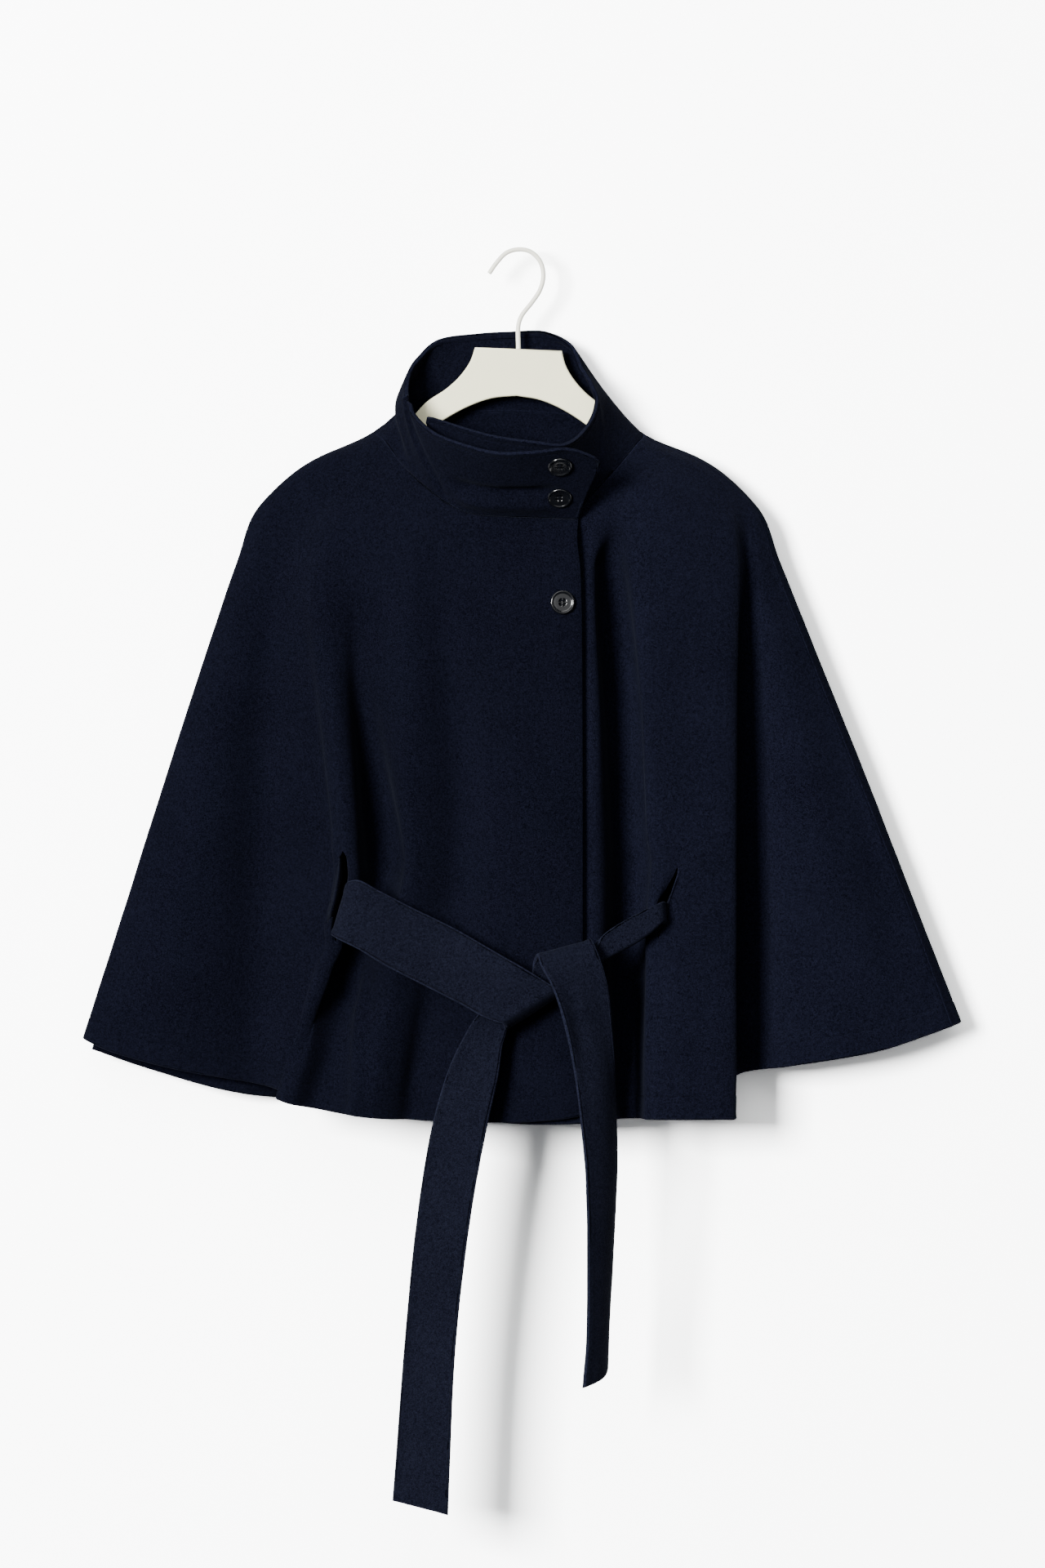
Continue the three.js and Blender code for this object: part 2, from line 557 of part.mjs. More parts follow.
function hookSolid() {
  const path = new THREE.CatmullRomCurve3(HOOK.map(({ x, z }) => point(x, 0, z)), false, "centripetal");
  const section = new THREE.Shape();
  section.absarc(0, 0, WIRE_RADIUS, 0, Math.PI * 2, false);
  const options = { steps: WIRE_STEPS, curveSegments: WIRE_SIDES / 2, extrudePath: path };
  return new THREE.ExtrudeGeometry(section, options);
}

function piece(name, geometry, finish) {
  const mesh = new THREE.Mesh(geometry, new THREE.MeshStandardMaterial(finish));
  mesh.name = name;
  return mesh;
}

// Where a button sits, in front of the point (x, z) of a piece of cloth: its back faces the cloth squarely,
// level with the highest cloth under it.
function seatOn(cloth, x, z) {
  const seat = ([side, rise]) => {
    const start = new THREE.Vector3(x + side * BUTTON.radius, -FAR_IN_FRONT, z + rise * BUTTON.radius);
    const [hit] = new THREE.Raycaster(start, new THREE.Vector3(0, 1, 0)).intersectObject(cloth);
    return hit.point;
  };
  const [left, right, low, high, at] = [[-1, 0], [1, 0], [0, -1], [0, 1], [0, 0]].map(seat);
  const out = right.clone().sub(left).cross(high.clone().sub(low)).normalize();
  const lifts = [left, right, low, high].map((p) => p.sub(at).dot(out));
  return { at: at.clone().addScaledVector(out, Math.max(0, ...lifts)), out };
}

function buttonAt(name, { at, out }) {
  const button = piece(name, buttonSolid(), HORN);
  button.quaternion.setFromUnitVectors(new THREE.Vector3(0, 0, 1), out);
  button.position.copy(at).addScaledVector(out, BUTTON_LIFT);
  return button;
}

const coat = new THREE.Group();
const rightFront = piece("right_front", rightFrontSolid(), NAVY);
const collar = piece("collar", collarSolid(), NAVY);
coat.add(rightFront);
coat.add(piece("left_front", leftFrontSolid(), NAVY));
coat.add(piece("back", backSolid(), NAVY));
coat.add(collar);
coat.add(piece("belt_left_run", beltSolid(BELT_LEFT_RUN), NAVY));
coat.add(piece("belt_right_run", beltSolid(BELT_RIGHT_RUN, { folded: true }), NAVY));
coat.add(piece("belt_long_tail", beltSolid(BELT_LONG_TAIL), NAVY));
coat.add(piece("belt_turn", beltSolid(BELT_TURN), NAVY));
coat.add(piece("belt_short_tail", beltSolid(BELT_SHORT_TAIL), NAVY));
coat.add(piece("belt_inside_run", beltSolid(BELT_INSIDE_RUN), NAVY));
coat.add(buttonAt("collar_button_upper", seatOn(collar, 37.5, -201)));
coat.add(buttonAt("collar_button_lower", seatOn(collar, 37.5, -228.5)));
coat.add(buttonAt("front_button", seatOn(rightFront, 40, -325)));
const hanger = new THREE.Group();
hanger.add(piece("hanger_board", hangerSolid(), CREAM));
hanger.position.z = HANGER.topZ;
hanger.rotation.y = THREE.MathUtils.degToRad(HANGER.tilt);
coat.add(hanger);
coat.add(piece("hanger_hook", hookSolid(), CREAM));

export default coat;
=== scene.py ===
import logging
import math
from dataclasses import dataclass, field
from enum import Enum
from typing import Sequence

import bmesh
import bpy
import numpy as np
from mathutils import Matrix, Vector, noise


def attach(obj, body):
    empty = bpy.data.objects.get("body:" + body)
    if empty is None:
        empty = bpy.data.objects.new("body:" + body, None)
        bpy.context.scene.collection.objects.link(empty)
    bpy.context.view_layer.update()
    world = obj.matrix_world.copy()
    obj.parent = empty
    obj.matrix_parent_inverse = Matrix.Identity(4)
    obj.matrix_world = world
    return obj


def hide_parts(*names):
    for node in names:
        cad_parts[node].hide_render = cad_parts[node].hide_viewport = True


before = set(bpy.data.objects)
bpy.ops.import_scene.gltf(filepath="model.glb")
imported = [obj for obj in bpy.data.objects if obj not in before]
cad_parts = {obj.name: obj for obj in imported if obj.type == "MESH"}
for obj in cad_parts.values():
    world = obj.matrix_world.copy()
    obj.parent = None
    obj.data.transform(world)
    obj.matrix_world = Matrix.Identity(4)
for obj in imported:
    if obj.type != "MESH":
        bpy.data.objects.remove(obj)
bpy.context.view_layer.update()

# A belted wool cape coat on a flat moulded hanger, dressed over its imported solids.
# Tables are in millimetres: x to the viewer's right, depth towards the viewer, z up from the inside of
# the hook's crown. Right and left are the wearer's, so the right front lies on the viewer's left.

Array = np.ndarray
LOG = logging.getLogger("cape_coat")

MM = 0.001
# RIM names the attribute that marks the cloth's rims, where the wool paints a highlight.
BODY = "root"
RIM = "rim"


class Hold(Enum):
    HUNG = "hung"
    FOLDED = "folded"
    STRETCHED = "stretched"


class Slot(Enum):
    """The record's material slots."""

    WOOL = "wool"
    BUTTON = "button"
    HANGER = "hanger"
    HOOK = "hook"


# The cloth's walls and the coat's measured levels, as in the part's own source.
PANEL_WALL = 2.4
COLLAR_WALL = 3.8
BELT_WALL = 4.0
BELT_WIDTH = 55.0
BELT_FOLD_DEPTH = 9.5
NECK_LAP = 0.9
COLLAR_AXIS = (-8.0, 30.0)
TIP_Z, CHEST_Z, WAIST_Z = -232.0, -290.0, -588.0
TIP_BELOW_NECK, CHEST_BELOW_NECK = 20.0, 50.0
SHOULDER_BOW = 0.06
SLIT_BAND = (2.86, 3.27)
HEM_TURNING = 21.0
HEM_THREAD = 21.2
GROOVE_WIDTH = 0.9

# Slow waves of the cloth: how wide and high they are, in millimetres, and each kind's own shift.
PANEL_WAVES = ((70, 1.1, 0), (24, 0.35, 5))
COLLAR_WAVES = ((46, 0.9, 41), (17, 0.25, 47))
BELT_WAVES = ((30, 0.5, 0), (12, 0.16, 3))


@dataclass(frozen=True)
class CollarRow:
    """One upright row of the collar: a point (x, depth, z) of the neck seam and one of the top edge.

    bulge is how far it swells out between them, and inset how far it lies under an outer layer.
    """

    at: str
    base: tuple[float, float, float]
    top: tuple[float, float, float]
    bulge: float
    inset: float = 0.0


COLLAR = (
    CollarRow("outer end", (55, 51, -248), (77, 96, -198), -2),
    CollarRow("over the buttons", (30, 52, -247), (47, 106, -188), -2),
    CollarRow("centre front", (2, 52, -246), (14, 109, -191), -3),
    CollarRow("front dip", (-26, 51, -245), (-16, 106, -192), -3),
    CollarRow("front left", (-50, 48, -241), (-48, 94, -184), -2),
    CollarRow("before the crease", (-65, 44, -233), (-81, 73, -169), 0),
    CollarRow("crease", (-74, 40, -227), (-101, 52, -147), 3),
    CollarRow("past the crease", (-86, 34, -218), (-104, 35, -130), 6),
    CollarRow("side", (-106, 24, -199), (-102, 23, -115), 8),
    CollarRow("over the arm", (-125, 9, -174), (-99, 13, -106), 2),
    CollarRow("shoulder", (-132, -4, -165), (-93, 3, -97), -2),
    CollarRow("back corner", (-108, -13, -153), (-75, -10, -80), 3),
    CollarRow("back left", (-60, -17, -148), (-40, -15, -74), 3),
    CollarRow("centre back", (-8, -18, -146), (-8, -17, -72), 1),
    CollarRow("back right", (44, -17, -149), (26, -15, -72), 2),
    CollarRow("far back corner", (90, -12, -156), (49, -6, -84), 2),
    CollarRow("far shoulder", (115, -4, -168), (58, 7, -104), -2),
    CollarRow("over the far arm", (109, 9, -177), (63, 15, -112), -1),
    CollarRow("far side", (96, 22, -196), (71, 25, -123), 1, 2),
    CollarRow("far crease", (78, 38, -222), (80, 38, -142), 2, 7),
    CollarRow("far front", (60, 50, -243), (72, 62, -166), 1, 10),
    CollarRow("inner front", (32, 52, -247), (47, 97, -183), -2, 9),
    CollarRow("inner centre", (0, 52, -246), (19, 101, -181), -3, 8),
    CollarRow("inner left", (-28, 50, -243), (-24, 91, -175), -2, 8),
    CollarRow("inner end", (-54, 46, -238), (-97, 56, -153), 0, 8),
)
SHOULDER_RIGHT, SHOULDER_LEFT = 10, 16


@dataclass(frozen=True)
class PanelLine:
    """One measured line of a panel: x and depth at the shoulder tip, chest, waist and hem.

    neck is where it starts, as a share of the panel's part of the neck seam.
    """

    at: str
    neck: float
    x: tuple[float, float, float, float]
    hem_z: float
    depth: tuple[float, float, float, float]


RIGHT_FRONT = (
    PanelLine("front edge", 0, (54, 57, 59, 58), -793, (56, 60, 66, 67)),
    PanelLine("button line", 0.1, (38, 40, 42, 41), -796, (57, 62, 68, 69)),
    PanelLine("centre front", 0.24, (4, 4, 4, 2), -799, (57, 63, 68, 68)),
    PanelLine("chest", 0.38, (-32, -32, -28, -42), -799, (55, 61, 65, 66)),
    PanelLine("soft trough", 0.5, (-66, -68, -58, -96), -798, (51, 56, 55, 48)),
    PanelLine("front ridge", 0.6, (-94, -100, -108, -138), -795, (47, 55, 64, 66)),
    PanelLine("deep trough", 0.66, (-120, -142, -132, -188), -787, (42, 45, 26, 46)),
    PanelLine("slit ridge", 0.72, (-146, -172, -150, -208), -783, (35, 42, 57, 60)),
    PanelLine("belt slit", 0.75, (-156, -180, -162, -217), -780, (31, 40, 57, 60)),
    PanelLine("fold edge", 0.78, (-166, -188, -172, -225), -777, (27, 37, 50, 53)),
    PanelLine("tuck", 0.82, (-178, -199, -171, -214), -775, (21, 29, 32, 34)),
    PanelLine("wing hollow", 0.86, (-194, -216, -232, -240), -767, (16, 18, 13, 12)),
    PanelLine("wing", 0.9, (-210, -232, -290, -319), -752, (12, 14, 19, 18)),
    PanelLine("wing outside", 0.94, (-226, -248, -337, -380), -735, (8, 10, 13, 13)),
    PanelLine("wing edge", 0.97, (-237, -261, -358, -402), -725, (0, 0, 0, 0)),
    PanelLine("arm seam", 1, (-234, -256, -350, -394), -728, (-7, -7, -7, -7)),
)
LEFT_FRONT = (
    PanelLine("arm seam", 0, (215, 236, 353, 399), -714, (3, 5, 7, 7)),
    PanelLine("wing", 0.02, (212, 224, 294, 332), -736, (6, 12, 20, 20)),
    PanelLine("wing rise", 0.04, (208, 216, 240, 250), -750, (8, 14, 18, 20)),
    PanelLine("deep trough", 0.07, (202, 209, 206, 206), -757, (12, 15, 9, 10)),
    PanelLine("tuck", 0.1, (196, 204, 190, 182), -776, (16, 24, 30, 30)),
    PanelLine("fold edge", 0.13, (189, 202, 202, 201), -796, (20, 34, 50, 55)),
    PanelLine("panel right", 0.2, (168, 180, 184, 184), -797, (29, 42, 58, 62)),
    PanelLine("belt slit", 0.3, (132, 140, 131, 146), -797, (40, 51, 62, 64)),
    PanelLine("panel brink", 0.4, (102, 106, 113, 117), -797, (44, 52, 60, 60)),
    PanelLine("front trough", 0.48, (84, 85, 97, 99), -797, (42, 36, 27, 36)),
    PanelLine("front strip", 0.56, (68, 70, 74, 77), -799, (46, 51, 57, 59)),
    PanelLine("under the edge", 0.64, (50, 52, 54, 54), -801, (45, 50, 58, 59)),
    PanelLine("under centre", 0.82, (0, 0, 0, 0), -801, (46, 53, 59, 59)),
    PanelLine("underlap edge", 1, (-54, -52, -44, -50), -796, (42, 49, 52, 51)),
)
BACK = (
    PanelLine("left arm seam", 1, (215, 236, 353, 399), -714, (3, 5, 7, 7)),
    PanelLine("left wing edge", 0.98, (218, 243, 361, 408), -710, (-2, -1, -1, -1)),
    PanelLine("left wing", 0.93, (200, 223, 308, 348), -724, (-11, -12, -15, -14)),
    PanelLine("left hollow", 0.84, (168, 184, 238, 252), -744, (-15, -15, -8, -6)),
    PanelLine("left ridge", 0.74, (124, 134, 160, 170), -765, (-18, -22, -27, -28)),
    PanelLine("left trough", 0.63, (76, 82, 92, 98), -780, (-20, -21, -15, -12)),
    PanelLine("centre back", 0.5, (-8, -8, -8, -8), -788, (-22, -24, -26, -26)),
    PanelLine("right trough", 0.37, (-92, -96, -104, -110), -787, (-20, -21, -14, -12)),
    PanelLine("right ridge", 0.26, (-140, -148, -172, -186), -783, (-18, -22, -27, -28)),
    PanelLine("right hollow", 0.16, (-184, -200, -244, -262), -775, (-15, -15, -10, -9)),
    PanelLine("right wing", 0.07, (-218, -238, -314, -347), -752, (-11, -13, -15, -15)),
    PanelLine("right arm seam", 0, (-234, -256, -350, -394), -735, (-7, -7, -7, -7)),
)

# The belt's stretches by their two edges, each point as (x, depth, z).
BELT_LEFT_RUN = (
    ((-149, 40, -573), (-159, 40, -627)),
    ((-154, 54, -586), (-167, 54, -629)),
    ((-152, 66, -580), (-165, 68, -631)),
    ((-144, 72, -578), (-158, 74, -635)),
    ((-127, 75, -587), (-146, 77, -641)),
    ((-96, 77, -603), (-123, 80, -655)),
    ((-59, 80, -621), (-88, 83, -673)),
    ((-20, 89, -643), (-50, 91, -692)),
    ((8, 95, -659), (-34, 96, -701)),
    ((26, 96, -670), (-22, 97, -706)),
    ((36, 96, -676), (-15, 97, -708)),
)
BELT_RIGHT_RUN = (
    ((126, 42, -594), (127, 42, -624)),
    ((135, 56, -598), (135, 58, -618)),
    ((130, 75, -598), (132, 77, -614)),
    ((110, 78, -607), (112, 80, -629)),
    ((78, 83, -627), (76, 84, -650)),
    ((69, 87, -641), (66, 88, -660)),
    ((54, 88, -649), (50, 88, -671)),
    ((34, 88, -657), (26, 88, -681)),
    ((6, 88, -670), (-4, 88, -693)),
)
BELT_LONG_TAIL = (
    ((1.2, 88, -673.3), (-9.2, 88, -695.9)),
    ((-14, 86.5, -682), (-9, 86.5, -701)),
    ((-37, 84, -700), (-10, 86.5, -713)),
    ((-52, 81, -724), (-14.5, 87.5, -729)),
    ((-64, 80, -750), (-18, 90, -754)),
    ((-80, 80, -806), (-30, 94, -808)),
    ((-93, 80, -886), (-44, 97, -886)),
    ((-104, 80, -996), (-57, 98, -996)),
    ((-111, 82, -1090), (-62, 97, -1098)),
    ((-115, 84, -1142), (-64, 96, -1154)),
)
BELT_TURN = (
    ((-14.4, 97, -709.4), (36.7, 96, -677.4)),
    ((-12, 88, -714), (39, 87, -682)),
    ((-12, 76, -711), (40, 76, -680)),
    ((0, 73, -684), (52, 73, -668)),
    ((11.5, 73, -664), (64, 73, -660)),
)
BELT_SHORT_TAIL = (
    ((11.8, 73, -663), (64.2, 73, -659)),
    ((13, 73.5, -653), (65.5, 73.5, -643)),
    ((15, 80, -647), (66, 79, -634)),
    ((17, 93, -646), (67, 92, -631.5)),
    ((20, 103, -655), (72, 99, -642)),
    ((30, 108, -673), (81, 98, -671)),
    ((44, 108, -716), (86, 86, -714)),
    ((55, 107, -784), (89, 78, -778)),
    ((61, 106, -850), (90, 66, -842)),
    ((63, 105, -930), (86, 60, -920)),
    ((62, 104, -1000), (82, 56, -990)),
    ((59, 104, -1038), (81, 58, -1024)),
)
BELT_INSIDE_RUN = (
    ((-149, 39.5, -573), (-159, 39.5, -627)),
    ((-150, 14, -572), (-154, 14, -627)),
    ((-120, -4, -570), (-120, -4, -626)),
    ((-60, -6, -570), (-60, -6, -626)),
    ((0, -9, -570), (0, -9, -626)),
    ((70, -4, -570), (70, -4, -626)),
    ((116, 0, -571), (116, 0, -625)),
    ((127, 14, -574), (128, 14, -628)),
    ((126, 41.5, -580), (127, 41.5, -628)),
)

# The hanger board's outline to one side of its middle, and the hook's centre line, as (x, z).
HANGER_TOP = (
    (40, 0), (44, -13), (53, -27), (65, -39), (84, -53),
    (106, -79.4), (132, -95.4), (160, -111.3), (190, -129.2), (202, -141.8),
)
HANGER_UNDER = (
    (197, -152), (172, -141), (140, -123), (104, -99), (72, -72), (45, -55), (22, -46), (0, -43),
)
HOOK_LINE = (
    (0, -89.6), (0, -68), (3, -59), (13, -46), (20, -35), (23, -22),
    (20, -9), (11, 0), (0, 2.1), (-11, -1), (-20, -10), (-27, -20),
)


@dataclass(frozen=True)
class Crease:
    """A soft fold along a path seen from the front, raised from the cloth or sunk into it.

    Each point of the path is (x, z, half width, height), in millimetres. A height below 0 is a trough.
    lean makes one side steeper: above 0 the side to the viewer's right, below 0 the other one.
    """

    path: tuple[tuple[float, float, float, float], ...]
    lean: float = 0.0


RIGHT_FRONT_CREASES = (
    Crease(
        (
            (-153, -318, 5, 0), (-145, -400, 8, -7), (-133, -480, 11, -12), (-121, -560, 13, -18),
            (-118, -608, 10, 0),
        ),
    ),
    Crease(((-172, -380, 6, 0), (-165, -470, 7, 2.4), (-157, -545, 6, 1.6), (-156, -575, 6, 0))),
    Crease(
        (
            (-84, -262, 14, 0), (-68, -350, 18, -4), (-52, -440, 20, -5), (-50, -520, 18, -5),
            (-57, -600, 16, -3), (-60, -630, 14, 0),
        ),
    ),
    Crease(((-141, -646, 4, 0), (-143, -690, 5, 7), (-146, -750, 5, 7.5), (-149, -800, 5, 7)), 0.3),
    Crease(
        (
            (-154, -632, 14, -7), (-161, -680, 15, -13), (-184, -712, 14, -10), (-203, -740, 12, -5),
            (-212, -775, 10, 0),
        ),
    ),
    Crease(((-82, -668, 8, 0), (-86, -705, 9, -6), (-94, -760, 9, -7), (-99, -800, 9, -6))),
    Crease(((-12, -692, 6, 0), (-10, -725, 7, -4), (-18, -765, 7, -4), (-24, -802, 7, -3))),
    Crease(
        (
            (-222, -262, 14, 0), (-230, -360, 22, -6), (-234, -500, 25, -9), (-238, -680, 25, -9),
            (-240, -775, 22, -6),
        ),
    ),
    Crease(((-250, -330, 12, 0), (-282, -470, 16, 1.5), (-306, -600, 18, 1.5), (-328, -730, 18, 0.5))),
    Crease(((-14, -262, 18, 0), (-8, -330, 22, 2.4), (0, -430, 24, 1.4), (4, -520, 20, 0))),
)
LEFT_FRONT_CREASES = (
    Crease(((128, -646, 6, 0), (124, -672, 7, -2.5), (126, -712, 8, -2.5), (128, -745, 8, 0))),
    Crease(
        (
            (92, -246, 8, 0), (84, -290, 11, -10), (88, -340, 12, -15), (97, -430, 13, -17),
            (104, -560, 13, -16), (100, -660, 12, -14), (102, -798, 10, -8),
        ),
    ),
    Crease(((160, -290, 18, 0), (160, -400, 22, -3), (156, -520, 20, -2.4), (152, -590, 16, 0))),
    Crease(((206, -290, 10, 0), (214, -400, 14, -8), (217, -600, 15, -9), (215, -790, 15, -8))),
    Crease(((196, -380, 6, 0), (198, -480, 6, 1.4), (199, -600, 6, 1.6), (200, -796, 6, 1.2)), 0.4),
    Crease(((232, -330, 12, 0), (262, -450, 16, 1.6), (276, -580, 18, 1.4), (292, -730, 18, 0.6))),
    Crease(((300, -420, 14, 0), (322, -520, 18, -1.6), (338, -620, 18, -1.4), (352, -715, 16, -0.6))),
    Crease(((164, -640, 14, 0), (166, -700, 16, -1.6), (168, -797, 16, -1.8))),
)
KNOTTED_RUN_CREASES = (
    Crease(((42, -664, 5, 0), (50, -688, 6, -2.6), (57, -722, 7, -3), (62, -775, 8, -1.6), (65, -840, 8, 0))),
    Crease(((-140, -612, 8, 0), (-112, -624, 10, -1.2), (-70, -646, 10, -1), (-44, -664, 8, 0))),
)
BACK_CREASES = (
    Crease(((60, -190, 20, 0), (46, -320, 26, 2), (42, -500, 28, 2.4), (44, -785, 26, 2))),
    Crease(((-56, -190, 20, 0), (-58, -330, 24, -2), (-62, -520, 26, -2.2), (-64, -786, 26, -2))),
    Crease(((196, -260, 14, 0), (206, -400, 18, -2), (222, -560, 20, -2.4), (236, -745, 20, -2))),
    Crease(((-210, -260, 14, 0), (-222, -400, 18, -1.6), (-236, -560, 22, -2.2), (-250, -775, 22, -2))),
    Crease(((-120, -180, 16, 0), (-130, -300, 18, 1.6), (-138, -420, 16, 0))),
    Crease(((110, -180, 16, 0), (116, -300, 18, -1.6), (124, -430, 16, 0))),
    Crease(((286, -420, 16, 0), (306, -540, 20, 2), (330, -720, 20, 1.6))),
    Crease(((-276, -400, 14, 0), (-300, -560, 18, 1.8), (-326, -755, 20, 1.6))),
)


def at(x: float, depth: float, z: float) -> tuple[float, float, float]:
    """A point of the tables as (x, y, z), still in millimetres."""
    return (x, -depth, z)


def curve(points: Array, positions: Array) -> Array:
    """Reads a smooth centripetal curve through points, as the part's own source does.

    Args:
        points: One point a row, or one row of points for each of several curves at once.
        positions: Where to read it, counting its points from 0.

    Returns:
        The curve's points, one row for each position.
    """
    cell = np.clip(np.floor(positions).astype(int), 0, len(points) - 2)
    share = (positions - cell).reshape(-1, *([1] * (points.ndim - 1)))
    padded = np.concatenate([2 * points[:1] - points[1:2], points, 2 * points[-1:] - points[-2:-1]])
    p0, p1, p2, p3 = (padded[cell + k] for k in range(4))

    def knot(a: Array, b: Array) -> Array:
        """The curve's parameter step between two points."""
        return np.maximum(np.sqrt(np.linalg.norm(b - a, axis=-1, keepdims=True)), 1e-4)

    d0, d1, d2 = knot(p0, p1), knot(p1, p2), knot(p2, p3)
    leave = ((p1 - p0) / d0 - (p2 - p0) / (d0 + d1) + (p2 - p1) / d1) * d1
    arrive = ((p2 - p1) / d1 - (p3 - p1) / (d1 + d2) + (p3 - p2) / d2) * d1
    square, cube = share**2, share**3
    return (
        p1
        + leave * share
        + (-3 * p1 + 3 * p2 - 2 * leave - arrive) * square
        + (2 * p1 - 2 * p2 + leave + arrive) * cube
    )


def unit(vectors: Array) -> Array:
    """The vectors at length 1."""
    return vectors / np.maximum(np.linalg.norm(vectors, axis=-1, keepdims=True), 1e-9)


def grid_normals(grid: Array) -> Array:
    """Outward directions at the points of a grid whose rows run down and whose columns run across."""
    down = np.gradient(grid, axis=0)
    across = np.gradient(grid, axis=1)
    return unit(np.cross(down, across))


def smooth_step(low: float, high: float, values: Array) -> Array:
    """0 below low, 1 above high, and a soft step between them."""
    share = np.clip((values - low) / (high - low), 0, 1)
    return share * share * (3 - 2 * share)


def bell(values: Array, centre: float | Array, width: float) -> Array:
    """1 at the centre, falling softly to 0 on both sides of it."""
    return np.exp(-(((values - centre) / width) ** 2))


def run_along(grid: Array, axis: int) -> Array:
    """Each point's distance from the grid's first row, with axis 0, or its first column, with axis 1."""
    steps = np.linalg.norm(np.diff(grid, axis=axis), axis=2)
    start = np.zeros_like(steps.take([0], axis))
    return np.concatenate([start, np.cumsum(steps, axis=axis)], axis=axis)


def crease_heights(grid: Array, creases: Sequence[Crease]) -> Array:
    """How far the creases raise each point of a grid.

    Args:
        grid: The cloth's points, in millimetres.
        creases: The folds, measured as the front view shows them.

    Returns:
        One height for each point of the grid.
    """
    seen = grid[..., [0, 2]]
    total = np.zeros(grid.shape[:2])
    for crease in creases:
        path = np.array(crease.path, float)
        nearest = np.full(grid.shape[:2], np.inf)
        height = np.zeros(grid.shape[:2])
        for start, end in zip(path[:-1], path[1:]):
            run = end[:2] - start[:2]
            share = np.clip(((seen - start[:2]) @ run) / (run @ run), 0, 1)
            offset = seen - (start[:2] + share[..., None] * run)
            distance = np.linalg.norm(offset, axis=-1)
            side = np.sign(offset[..., 0])
            width = (start[2] + (end[2] - start[2]) * share) * (1 - crease.lean * side)
            swell = start[3] + (end[3] - start[3]) * share
            closer = distance < nearest
            nearest = np.where(closer, distance, nearest)
            height = np.where(closer, swell * bell(distance, 0.0, width), height)
        total += height
    return total


def slow_waves(grid: Array, waves: Sequence[tuple[float, float, float]], seed: float = 0.0) -> Array:
    """The slight unevenness of hanging cloth.

    Args:
        grid: The cloth's points, in millimetres.
        waves: For each kind of wave how wide and how high it is, and a shift of its own.
        seed: Shifts the pattern, so that no two pieces share it.

    Returns:
        One height for each point of the grid.
    """
    total = np.zeros(grid.shape[:2])
    for size, height, own_shift in waves:
        shift = seed + own_shift
        flat = grid.reshape(-1, 3) / size
        values = [noise.noise(Vector((x + shift, y * 0.5, z * 0.6 - shift))) for x, y, z in flat]
        total += height * np.array(values).reshape(grid.shape[:2])
    return total


@dataclass(frozen=True)
class Slit:
    """The slit that the belt comes out of.

    lips has rows of (z, left lip's x, right lip's x) from the top down, in millimetres, and left_back and
    right_back are how far the belt pushes each lip back. Within reach of the slit the cloth follows it.
    """

    lips: tuple[tuple[float, float, float], ...]
    left_back: float
    right_back: float
    reach: float = 24.0

    def edge(self, z: Array, side: int) -> Array:
        """A lip's x at each height: side 1 is the left lip and side 2 the right one."""
        rows = np.array(self.lips[::-1])
        return np.interp(z, rows[:, 0], rows[:, side])

    def follow(self, grid: Array, column: int) -> Array:
        """Shifts a grid sideways near the slit, so that the given column runs along its middle."""
        line = grid[:, column]
        top, bottom = self.lips[0][0], self.lips[-1][0]
        near = smooth_step(bottom - self.reach, bottom, line[:, 2])
        near *= 1 - smooth_step(top, top + self.reach, line[:, 2])
        middle = (self.edge(line[:, 2], 1) + self.edge(line[:, 2], 2)) / 2
        shift = near * (middle - line[:, 0])
        aside = bell(grid[..., 0], line[:, None, 0], self.reach)
        moved = grid.copy()
        moved[..., 0] += shift[:, None] * aside
        return moved


RIGHT_SLIT = Slit(
    (
        (-550, -161, -161), (-562, -163.5, -155), (-574, -166, -151), (-598, -171, -154),
        (-611, -174, -159), (-622, -173, -163), (-630, -169, -166), (-635, -167, -167),
    ),
    4.0, 0.0,
)
LEFT_SLIT = Slit(
    (
        (-564, 146, 146), (-573, 142.5, 145), (-586, 135, 140.5), (-598, 128, 136.5),
        (-611, 126, 135.7), (-622, 126.5, 131), (-629, 127.3, 128.5), (-632, 128, 128),
    ),
    4.0, -1.0,
)


@dataclass(frozen=True)
class Cut:
    """A slit in place: the column of the grid that it parts, and its first and last row."""

    slit: Slit
    column: int
    first: int
    last: int


